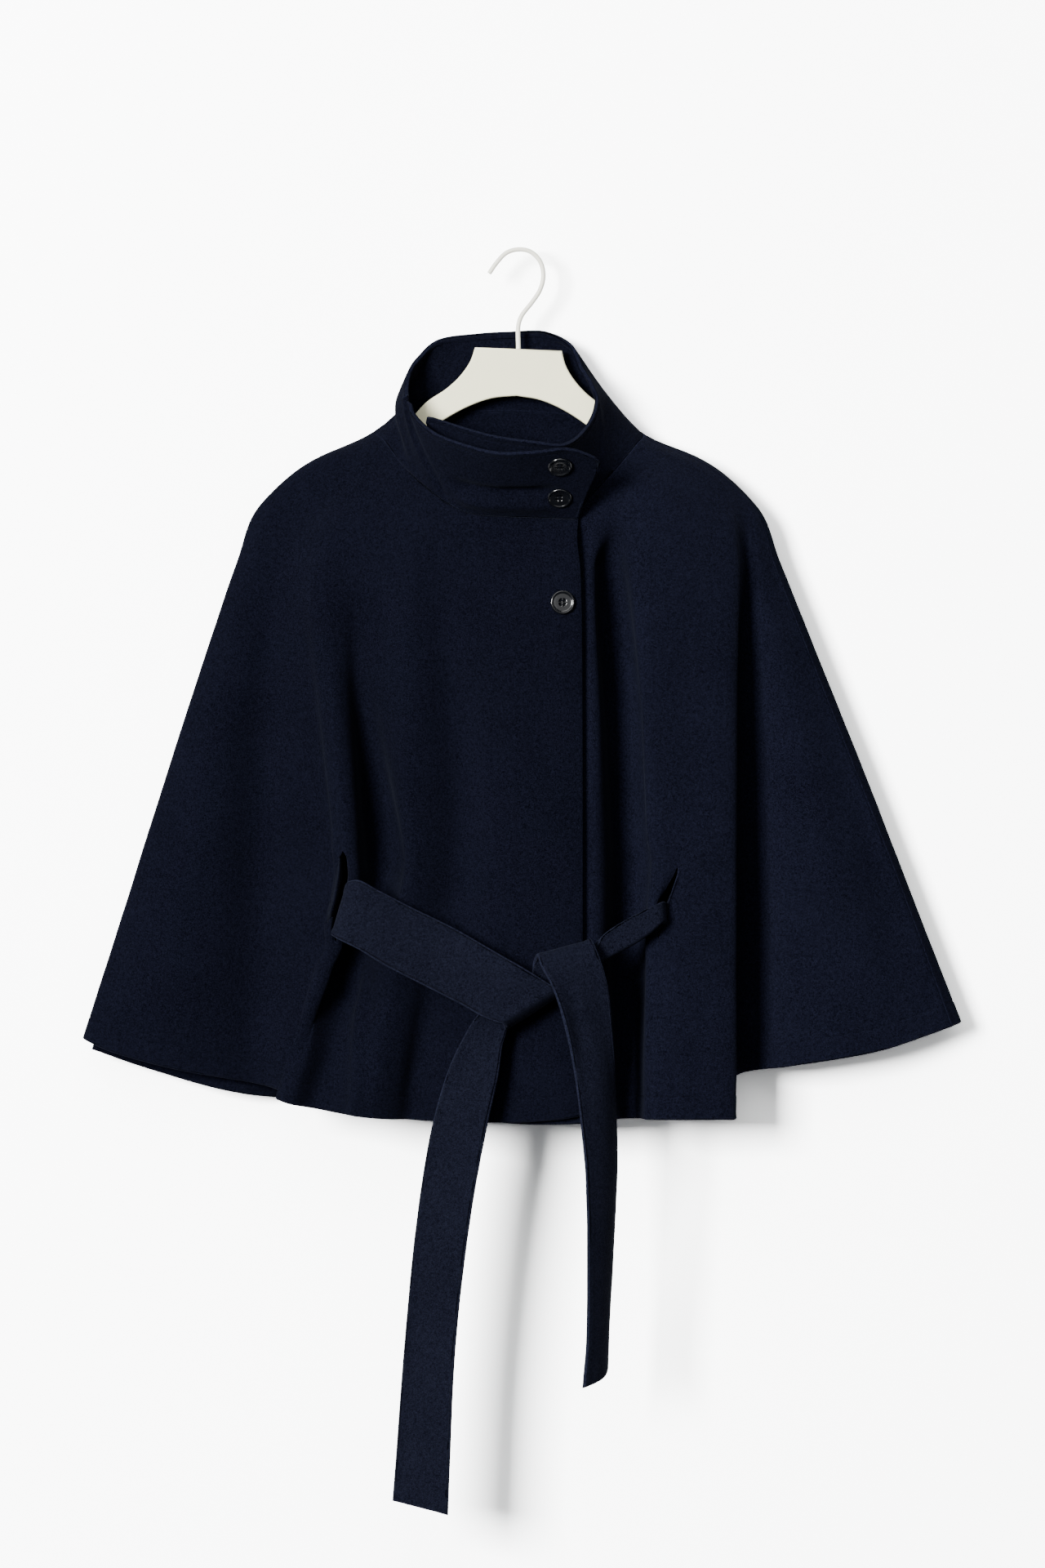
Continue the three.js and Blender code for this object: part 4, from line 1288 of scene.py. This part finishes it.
@dataclass(frozen=True)
class UprightFold:
    """A crease up the collar: its row at the seam, its lean along the collar, its width and height."""

    row: float
    lean: float
    width: float
    height: float


@dataclass(frozen=True)
class LevelFold:
    """A fold along the collar: its share of the way up, its width and height.

    rows says where along the collar it starts, is full, begins to end and is gone.
    """

    up: float
    width: float
    height: float
    rows: tuple[float, float, float, float]


@dataclass
class WrapCollar:
    """The high collar that wraps over itself: two layers of cloth with a sewn top edge and round corners.

    upright_folds are where it turns at the front, inner_fold the crease in its inner layer, and level_folds
    the dip and roll above the front's neck seam and the hollow over the shoulder.
    """

    finishes: Finishes
    form: CoatForm = field(default_factory=CoatForm)
    edge_seam: float = 5.0
    seam_depth: float = 0.6
    corner: float = 10.0
    steps: int = 14
    fold_start: float = 0.12
    upright_folds: tuple[UprightFold, ...] = (
        UprightFold(5.38, 1.2, 0.10, 2.4),
        UprightFold(5.0, 1.2, 0.24, -1.8),
    )
    inner_fold: UprightFold = UprightFold(18.6, 0.0, 0.3, 1.2)
    level_folds: tuple[LevelFold, ...] = (
        LevelFold(0.37, 0.08, -7.0, (0.5, 1.7, 3.9, 4.7)),
        LevelFold(0.18, 0.09, 4.0, (0.5, 1.7, 3.9, 4.7)),
        LevelFold(0.26, 0.16, -8.0, (7.2, 8.3, 10.8, 12.0)),
    )
    flat: tuple[float, float] = (0.58, 0.094)

    def heights(self, along: Array) -> Array:
        """Heights up the collar at each position, lowered at both ends for the round corners."""
        up = np.concatenate([np.linspace(1, 0.86, 16, endpoint=False), np.linspace(0.86, 0.0, 30)])
        base, top = curve(self.form.ring("base"), along), curve(self.form.ring("top"), along)
        steps = np.linalg.norm(np.diff(top, axis=0), axis=1)
        run = np.concatenate([[0.0], np.cumsum(steps)])
        from_end = np.minimum(run, run[-1] - run)
        inside = np.clip(self.corner - from_end, 0, None)
        drop = self.corner - np.sqrt(self.corner**2 - inside**2)
        share = 1 - 0.9 * drop / np.linalg.norm(top - base, axis=1)
        return up[:, None] * share[None]

    def build(self) -> None:
        """Makes the collar and its topstitching."""
        along = np.linspace(len(COLLAR) - 1.0, 0.0, (len(COLLAR) - 1) * self.steps + 1)
        up = self.heights(along)
        grid = self.form.collar_point(along, up)
        normals = grid_normals(grid)
        length = np.linalg.norm(grid[0] - grid[-1], axis=-1)
        below = (up[:1] - up) * length[None]
        heights = slow_waves(grid, COLLAR_WAVES)
        heights -= self.seam_depth * bell(below, self.edge_seam, GROOVE_WIDTH)
        heights += self.folds(along[None], up)
        heights *= smooth_step(0, 0.05, up)
        grid = grid + normals * heights[..., None]
        points, faces, on_rim = ClothShell(grid, COLLAR_WALL, rim_steps=10, groove=0.7).build()
        shell = smooth_object("collar_cloth", points, faces, self.finishes.smooth, on_rim)
        cloth = hang(shell, Slot.WOOL, "collar")
        path = self.topstitch_path(grid, normals, below)
        row = StitchRow("collar_topstitch", 3.4, 2.3, 0.5)
        stitches = hang(row.sew(path, self.finishes.thread), Slot.WOOL)

    def folds(self, along: Array, up: Array) -> Array:
        """Heights of the collar's own folds."""
        leaning = sum(
            fold.height * bell(along, fold.row + fold.lean * up, fold.width) for fold in self.upright_folds
        )
        total = leaning * smooth_step(0.0, self.fold_start, up)
        for fold in self.level_folds:
            starts, full, ends, gone = fold.rows
            across = smooth_step(starts, full, along) * (1 - smooth_step(ends, gone, along))
            total = total + fold.height * bell(up, fold.up, fold.width) * across
        return total + self.inner_fold.height * bell(along, self.inner_fold.row, self.inner_fold.width)

    def topstitch_path(self, grid: Array, normals: Array, below: Array) -> Array:
        """The line on the cloth that lies edge_seam under the top edge."""
        path = []
        for column in range(2, grid.shape[1] - 2):
            row = int(np.argmin(np.abs(below[:, column] - self.edge_seam)))
            path.append(grid[row, column] + normals[row, column] * 0.02)
        return np.array(path)


@dataclass
class BeltStretch:
    """One run of the belt by the points of its two edges, as the visible side shows them.

    nodes are the solids that it stands for, and folded says that the width that doesn't show is turned
    under along its second edge. arch is how far its middle swells out where it hangs below the knot.
    """

    name: str
    nodes: tuple[str, ...]
    edges: tuple[Array, Array]
    flat: tuple[float, float]
    hold: Hold
    rests_on: str
    seed: float
    folded: bool = False
    creases: Sequence[Crease] = ()
    arch: float = 0.0
    spacing: float = 2.6


def edge_points(rows: Sequence, side: int) -> Array:
    """One edge of a belt table as points: side 0 is edge a and side 1 edge b."""
    return np.array([at(*row[side]) for row in rows], float)


def outer_edges(rows: Sequence) -> tuple[Array, Array]:
    """Both edges of a belt table, moved out by the belt's wall to the side that is seen."""
    first, second = edge_points(rows, 0), edge_points(rows, 1)
    along = np.gradient((first + second) / 2, axis=0)
    out = unit(np.cross(second - first, along))
    return first + out * BELT_WALL, second + out * BELT_WALL


def knotted_edges() -> tuple[Array, Array]:
    """The edges of the run that crosses the front, folds under the knot and falls as the short tail."""
    upper, lower = outer_edges(BELT_LEFT_RUN)
    first = [lower, edge_points(BELT_TURN, 0)[1:], edge_points(BELT_SHORT_TAIL, 0)[1:]]
    second = [upper, edge_points(BELT_TURN, 1)[1:], edge_points(BELT_SHORT_TAIL, 1)[1:]]
    return np.concatenate(first), np.concatenate(second)


def both_edges(rows: Sequence) -> tuple[Array, Array]:
    """Both edges of a belt table as they stand."""
    return edge_points(rows, 0), edge_points(rows, 1)


@dataclass
class TieBelt:
    """The soft tie belt, knotted once over the front.

    Its edges are lifted by edge_lift over edge_width. below_knot are the heights where a tail's arch is full
    and where it starts. A folded stretch bulges by turn_bulge of a half round, and most_under is the largest
    share of the shown width that is turned under.
    """

    finishes: Finishes
    stretches: Sequence[BeltStretch] = (
        BeltStretch(
            "belt_knotted_run_cloth", ("belt_left_run", "belt_turn", "belt_short_tail"), knotted_edges(),
            (0.055, 0.68), Hold.FOLDED, "right_front_cloth", 61, creases=KNOTTED_RUN_CREASES, arch=8.5,
        ),
        BeltStretch(
            "belt_right_run_cloth", ("belt_right_run",), both_edges(BELT_RIGHT_RUN),
            (0.055, 0.165), Hold.FOLDED, "left_front_cloth", 67, True,
        ),
        BeltStretch(
            "belt_long_tail_cloth", ("belt_long_tail",), both_edges(BELT_LONG_TAIL),
            (0.055, 0.42), Hold.HUNG, "belt_right_run_cloth", 71,
        ),
        BeltStretch(
            "belt_inside_run_cloth", ("belt_inside_run",), both_edges(BELT_INSIDE_RUN),
            (0.055, 0.34), Hold.STRETCHED, "back_cloth", 83,
        ),
    )
    edge_width: float = 7.0
    edge_lift: float = 0.6
    below_knot: tuple[float, float] = (-775.0, -700.0)
    turn_bulge: float = 0.7
    most_under: float = 0.9

    def section(self, stretch: BeltStretch, positions: Array) -> tuple[Array, Array]:
        """The stretch's outside points, one row for each position along it, and its lifted edges."""
        a, b = (curve(edge, positions) for edge in stretch.edges)
        across = b - a
        shown = np.linalg.norm(across, axis=1)
        parts = np.linspace(0, 0.2, 7)[:-1], np.linspace(0.2, 0.8, 11), np.linspace(0.8, 1, 7)[1:]
        shares = np.concatenate(parts)
        flat = a[:, None] + across[:, None] * shares[None, :, None]
        from_edge = np.minimum(shares, 1 - shares)[None] * shown[:, None]
        lift = self.edge_lift * (1 - smooth_step(self.edge_width * 0.7, self.edge_width, from_edge))
        hanging = 1 - smooth_step(*self.below_knot, a[:, 2])
        lift = lift + stretch.arch * hanging[:, None] * 4 * (shares * (1 - shares))[None]
        if not stretch.folded:
            return flat, lift
        along = np.gradient(a, axis=0)
        across = unit(across)
        behind = unit(np.cross(across, along))
        radius = BELT_FOLD_DEPTH / 2
        under = np.minimum(BELT_WIDTH - shown, shown * self.most_under)
        rows = [flat]
        for angle in np.linspace(0, math.pi, 9)[1:]:
            out, back = radius * math.sin(angle) * self.turn_bulge, radius * (1 - math.cos(angle))
            rows.append((b + across * out + behind * back)[:, None])
        turned = b + behind * BELT_FOLD_DEPTH
        for share in np.linspace(0, 1, 7)[1:]:
            rows.append((turned - across * (under * share)[:, None])[:, None])
        grid = np.concatenate(rows, axis=1)
        return grid, np.zeros(grid.shape[:2])

    def build(self) -> None:
        """Makes every stretch."""
        for stretch in self.stretches:
            edge = stretch.edges[0]
            steps = np.maximum(np.round(np.linalg.norm(np.diff(edge, axis=0), axis=1) / stretch.spacing), 4)
            parts = [np.linspace(k, k + 1, int(n), endpoint=False) for k, n in enumerate(steps)]
            positions = np.concatenate([*parts, [len(edge) - 1.0]])
            grid, heights = self.section(stretch, positions)
            heights = heights + slow_waves(grid, BELT_WAVES, stretch.seed)
            heights = heights + crease_heights(grid, stretch.creases)
            grid = grid + grid_normals(grid) * heights[..., None]
            points, faces, on_rim = ClothShell(grid, BELT_WALL, rim_steps=8, groove=0.5).build()
            # The belt takes the lighter copy of the wool, its painted light.
            cloth = smooth_object(stretch.name, points, faces, self.finishes.belt_painted_light_wool, on_rim)
            hang(cloth, Slot.WOOL, *stretch.nodes)


def ring_faces(start: int, rings: int, sides: int) -> list[tuple[int, int, int, int]]:
    """The faces between rings of points that follow each other from number start."""
    faces = []
    for ring in range(rings - 1):
        for k in range(sides):
            a, b = start + ring * sides + k, start + ring * sides + (k + 1) % sides
            faces.append((a, b, b + sides, a + sides))
    return faces


@dataclass
class CoatButton:
    """A polished four-hole button on its thread, standing where its node stands."""

    node: str
    finishes: Finishes
    radius: float = 11.0
    thick: float = 3.4
    rim_width: float = 2.2
    rim_height: float = 1.0
    hole_radius: float = 1.4
    hole_spread: float = 2.3
    hole_depth: float = 1.4
    strand_apart: float = 0.26
    strand_radius: float = 0.22
    sides: int = 64

    def frame_of(self) -> tuple[Array, Array, Array, Array]:
        """The node's middle of its back face and its three directions, read from its mesh."""
        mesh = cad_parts[self.node].data
        points = np.array([v.co for v in mesh.vertices]) / MM
        middle = points.mean(axis=0)
        values, axes = np.linalg.eigh(np.cov((points - middle).T))
        out = axes[:, 0] * (-1 if axes[1, 0] > 0 else 1)
        side = unit(np.cross(np.array([0.0, 0.0, 1.0]), -out))
        rise = np.cross(out, side) * -1
        if rise[2] < 0:
            rise, side = -rise, -side
        along = (points - middle) @ out
        return middle + out * along.min(), side, rise, out

    def profile(self) -> list[tuple[float, float]]:
        """Radius and height of the turned form, from the back's middle to the front's."""
        r, t, w, h = self.radius, self.thick, self.rim_width, self.rim_height
        return [
            (0.0, 0.0), (r * 0.5, 0.0), (r * 0.78, 0.05), (r * 0.9, t * 0.16), (r * 0.975, t * 0.38),
            (r, t * 0.6), (r * 0.99, t * 0.8), (r - w * 0.28, t * 0.95), (r - w * 0.5, t),
            (r - w * 0.72, t * 0.96), (r - w * 0.92, t - h * 0.62), (r - w * 1.12, t - h * 0.95),
            (r * 0.7, t - h * 1.08), (r * 0.5, t - h * 1.15), (self.hole_spread * 1.9, t - h * 1.18),
        ]

    def build(self) -> None:
        """Makes the button and its thread."""
        origin, side, rise, out = self.frame_of()
        points, faces = [], []
        rings = self.profile()
        for r, z in rings:
            for k in range(self.sides):
                angle = 2 * math.pi * k / self.sides
                points.append(origin + side * r * math.cos(angle) + rise * r * math.sin(angle) + out * z)
        faces += ring_faces(0, len(rings), self.sides)
        self.face_with_holes(points, faces, origin, side, rise, out, rings[-1])
        button = smooth_object(f"{self.node}_polished", np.array(points), faces, self.finishes.button)
        recalculate(button)
        hang(button, Slot.BUTTON, self.node)
        hang(self.thread(origin, side, rise, out), Slot.WOOL)

    def face_with_holes(
        self, points: list, faces: list, origin: Array, side: Array, rise: Array, out: Array, last: tuple
    ) -> None:
        """Fills the dished middle with a grid round four sunk holes."""
        level, hole = last[1], self.hole_radius
        first = len(points) - self.sides
        ring = list(range(first, first + self.sides))
        spread = self.hole_spread / math.sqrt(2)
        quarter = self.sides // 4
        centre = len(points)
        points.append(origin + out * level)
        spokes = []
        for corner in range(4):
            angle = math.pi / 2 * corner
            direction = side * math.cos(angle) + rise * math.sin(angle)
            spokes.append(len(points))
            points.append(origin + direction * self.hole_spread * 0.95 + out * level)
        for corner in range(4):
            sx, sy = ((1, 1), (-1, 1), (-1, -1), (1, -1))[corner]
            middle = origin + side * sx * spread + rise * sy * spread + out * level
            outer = [ring[(corner * quarter + k) % self.sides] for k in range(quarter + 1)]
            loop = [centre, spokes[corner], *outer, spokes[(corner + 1) % 4]]
            rim = []
            for i in loop:
                flat = points[i] - middle
                rim.append(len(points))
                points.append(middle + unit(flat - out * (flat @ out)) * hole)
            floor = []
            for i in rim:
                floor.append(len(points))
                points.append(points[i] - out * self.hole_depth)
            count = len(loop)
            for k in range(count):
                n = (k + 1) % count
                faces.append((loop[k], loop[n], rim[n], rim[k]))
                faces.append((rim[k], rim[n], floor[n], floor[k]))
            faces.append(tuple(floor))
        faces.append(tuple(reversed(range(self.sides))))

    def thread(self, origin: Array, side: Array, rise: Array, out: Array) -> bpy.types.Object:
        """Two short bars of thread across the holes."""
        level = self.thick - self.rim_height * 1.18 - 0.1
        spread = self.hole_spread / math.sqrt(2)
        points, faces = [], []
        for row in (-1, 1):
            for strand in (-self.strand_apart, self.strand_apart):
                line = []
                for share in np.linspace(-1, 1, 9):
                    lift = 0.3 * (1 - share**4) - 0.9 * (abs(share) > 0.95)
                    aside = side * spread * share + rise * (row * spread + strand)
                    line.append(origin + aside + out * (level + lift))
                tube(points, faces, np.array(line), self.strand_radius, 8)
        return smooth_object(f"{self.node}_thread", np.array(points), faces, self.finishes.thread)


def tube(points: list, faces: list, line: Array, radius: float, sides: int) -> None:
    """Adds a closed round tube along a line to lists of points and faces."""
    tangents = unit(np.gradient(line, axis=0))
    start = len(points)
    for place, tangent in zip(line, tangents):
        across = unit(np.cross(tangent, np.array([0.13, 0.31, 0.94])))
        up = np.cross(tangent, across)
        for k in range(sides):
            angle = 2 * math.pi * k / sides
            points.append(place + across * radius * math.cos(angle) + up * radius * math.sin(angle))
    faces += ring_faces(start, len(line), sides)
    last = start + (len(line) - 1) * sides
    faces.append(tuple(reversed(range(start, start + sides))))
    faces.append(tuple(range(last, last + sides)))


def recalculate(obj: bpy.types.Object) -> None:
    """Points every face of a closed mesh outwards."""
    work = bmesh.new()
    work.from_mesh(obj.data)
    bmesh.ops.recalc_face_normals(work, faces=work.faces)
    work.to_mesh(obj.data)
    work.free()


@dataclass
class Hanger:
    """The flat moulded hanger, soft along its edges, and its round wire hook."""

    finishes: Finishes
    thick: float = 10.0
    top_z: float = -90.0
    tilt: float = 2.2
    wire_radius: float = 2.1
    edge: float = 1.6

    def outline(self) -> Array:
        """The board's outline, smooth between the measured points, before its tilt."""
        top, under = (
            curve(np.array([(x, 0.0, z) for x, z in line], float), np.linspace(0, len(line) - 1, count))
            for line, count in ((HANGER_TOP, 46), (HANGER_UNDER, 34))
        )
        half = np.vstack([top, under])
        mirrored = half[:-1][::-1] * np.array([-1.0, 1.0, 1.0])
        return np.vstack([half, mirrored])

    def build(self) -> None:
        """Makes the board and the hook."""
        self.board()
        self.hook()

    def board(self) -> None:
        """The board, its faces set in from its soft edge."""
        line = self.outline()
        ahead, behind = np.roll(line, -1, axis=0), np.roll(line, 1, axis=0)
        tangent = unit(ahead - behind)
        inward = np.stack([tangent[:, 2], np.zeros(len(line)), -tangent[:, 0]], axis=1)
        if np.sum(inward[0] * (np.array([0.0, 0.0, -60.0]) - line[0])) < 0:
            inward = -inward
        rings = []
        for side, angles in ((-1, np.linspace(0, math.pi / 2, 5)), (1, np.linspace(math.pi / 2, 0, 5))):
            for angle in angles:
                inset, drop = self.edge * (1 - math.sin(angle)), self.edge * (1 - math.cos(angle))
                rings.append(line + inward * inset + np.array([0.0, side * (self.thick / 2 - drop), 0.0]))
        points = np.vstack(rings)
        count = len(line)
        faces = ring_faces(0, len(rings), count)
        last = (len(rings) - 1) * count
        faces.append(tuple(reversed(range(count))))
        faces.append(tuple(range(last, last + count)))
        angle = math.radians(self.tilt)
        turned = points.copy()
        turned[:, 0] = points[:, 0] * math.cos(angle) + points[:, 2] * math.sin(angle)
        turned[:, 2] = -points[:, 0] * math.sin(angle) + points[:, 2] * math.cos(angle) + self.top_z
        board = smooth_object("hanger_board_moulded", turned, faces, self.finishes.hanger)
        recalculate(board)
        for polygon in board.data.polygons:
            if len(polygon.vertices) > 4:
                polygon.use_smooth = False
        hang(board, Slot.HANGER, "hanger_board")

    def hook_tree(self) -> bpy.types.NodeTree:
        """Builds the wire's node tree: a path in, a round wire out."""
        kit = PathTree("hook_wire_tree", ("Radius",))
        ring = kit.node(
            "GeometryNodeCurvePrimitiveCircle",
            inputs={"Resolution": 20, "Radius": kit.source.outputs["Radius"]},
        )
        sweep = kit.node(
            "GeometryNodeCurveToMesh",
            inputs={
                "Curve": kit.line.outputs["Curve"],
                "Profile Curve": ring.outputs["Curve"],
                "Fill Caps": True,
            },
        )
        return kit.finish(sweep.outputs["Mesh"], self.finishes.hook)

    def hook(self) -> None:
        """The hook, swept along its measured line."""
        points = np.array([at(x, 0, z) for x, z in HOOK_LINE], float)
        line = curve(points, np.linspace(0, len(HOOK_LINE) - 1, 120))
        wire = solid_from_path("hanger_hook_wire", line, self.hook_tree(), {"Radius": self.wire_radius})
        hang(wire, Slot.HOOK, "hanger_hook")


@dataclass(frozen=True)
class Lamp:
    """A square soft light: where it stands and how wide it is, in metres, and its power in watts."""

    name: str
    place: tuple[float, float, float]
    size: float
    power: float


@dataclass
class Studio:
    """The pale wall, the soft light from the left, and the camera straight in front."""

    wall_behind: float = 0.034
    wall_seen: float = 3.2
    wall_colour: float = 0.86
    wall_size: float = 9.0
    camera_distance: float = 6.0
    view_height: float = 1.44
    centre: tuple[float, float, float] = (0.00375, -0.02, -0.4905)
    sensor: float = 36.0
    aim: tuple[float, float, float] = (0.0, 0.0, -0.5)
    lamps: tuple[Lamp, ...] = (
        Lamp("left_window", (-4.5, -7.5, 1.1), 2.7, 2350.0),
        Lamp("ceiling_bounce", (-1.0, -5.0, 4.0), 5.0, 240.0),
        Lamp("right_card", (3.6, -6.4, 0.2), 3.0, 36.0),
        Lamp("front_card", (0.8, -7.5, 0.2), 4.0, 46.0),
    )
    sky_colour: tuple[float, float, float, float] = (0.93, 0.96, 1.0, 1.0)
    sky_strength: float = 0.06

    def build(self) -> None:
        """Makes the wall, the lights and the camera."""
        self.wall()
        self.lights()
        self.camera()

    def wall(self) -> None:
        """A pale wall, brighter to the camera than to the light, and clear from behind."""
        kit = NodeKit("pale_wall")

        def paint(strength: float) -> Shade:
            """A diffuse pale paint."""
            colour = (strength * 0.993, strength, strength * 0.999, 1.0)
            return Shade(kit, kit.node("ShaderNodeBsdfDiffuse", inputs={"Color": colour}).outputs[0])

        def mix(share: Shade, first: Shade, second: Shade) -> Shade:
            """A Mix Shader node."""
            node = kit.node("ShaderNodeMixShader", inputs={0: share, 1: first, 2: second})
            return Shade(kit, node.outputs[0])

        seen = Shade(kit, kit.node("ShaderNodeLightPath").outputs["Is Camera Ray"])
        behind = Shade(kit, kit.node("ShaderNodeNewGeometry").outputs["Backfacing"])
        clear = Shade(kit, kit.node("ShaderNodeBsdfTransparent").outputs[0])
        surface = mix(behind, mix(seen, paint(self.wall_colour), paint(self.wall_seen)), clear)
        kit.node("ShaderNodeOutputMaterial", inputs={"Surface": surface})
        half, y = self.wall_size / 2, self.wall_behind
        mesh = bpy.data.meshes.new("stage_wall")
        low, high = self.aim[2] - half, self.aim[2] + half
        sheet = [(-half, y, low), (half, y, low), (half, y, high), (-half, y, high)]
        mesh.from_pydata(sheet, [], [(0, 1, 2, 3)])
        mesh.materials.append(kit.material)
        add_object("stage_wall", mesh)

    def lights(self) -> None:
        """The lamps, all in front of the coat, and a faint even sky."""
        for lamp in self.lamps:
            light = bpy.data.lights.new(lamp.name, "AREA")
            light.size = lamp.size
            light.energy = lamp.power
            obj = add_object(lamp.name, light)
            obj.location = lamp.place
            obj.rotation_euler = (Vector(self.aim) - Vector(lamp.place)).to_track_quat("-Z", "Y").to_euler()
        world = bpy.data.worlds.new("studio_air")
        world.use_nodes = True
        background = world.node_tree.nodes["Background"]
        background.inputs["Color"].default_value = self.sky_colour
        background.inputs["Strength"].default_value = self.sky_strength
        bpy.context.scene.world = world

    def camera(self) -> None:
        """A long lens, far away and level, so that the coat keeps its measured outline."""
        lens = bpy.data.cameras.new("front_camera")
        lens.sensor_width = self.sensor
        lens.lens = self.sensor * self.camera_distance / self.view_height
        lens.clip_end = 100.0
        camera = add_object("front_camera", lens)
        x, y, z = self.centre
        camera.location = (x, y - self.camera_distance, z)
        camera.rotation_euler = (math.pi / 2, 0.0, 0.0)
        bpy.context.scene.camera = camera


def main() -> None:
    """Builds the studio and every piece of the coat."""
    logging.basicConfig(level=logging.INFO, format="%(message)s")
    finishes = Finishes()
    Studio().build()
    CapeBody(finishes).build()
    WrapCollar(finishes).build()
    TieBelt(finishes).build()
    for node in ("collar_button_upper", "collar_button_lower", "front_button"):
        CoatButton(node, finishes).build()
    Hanger(finishes).build()


if __name__ == "__main__":
    main()
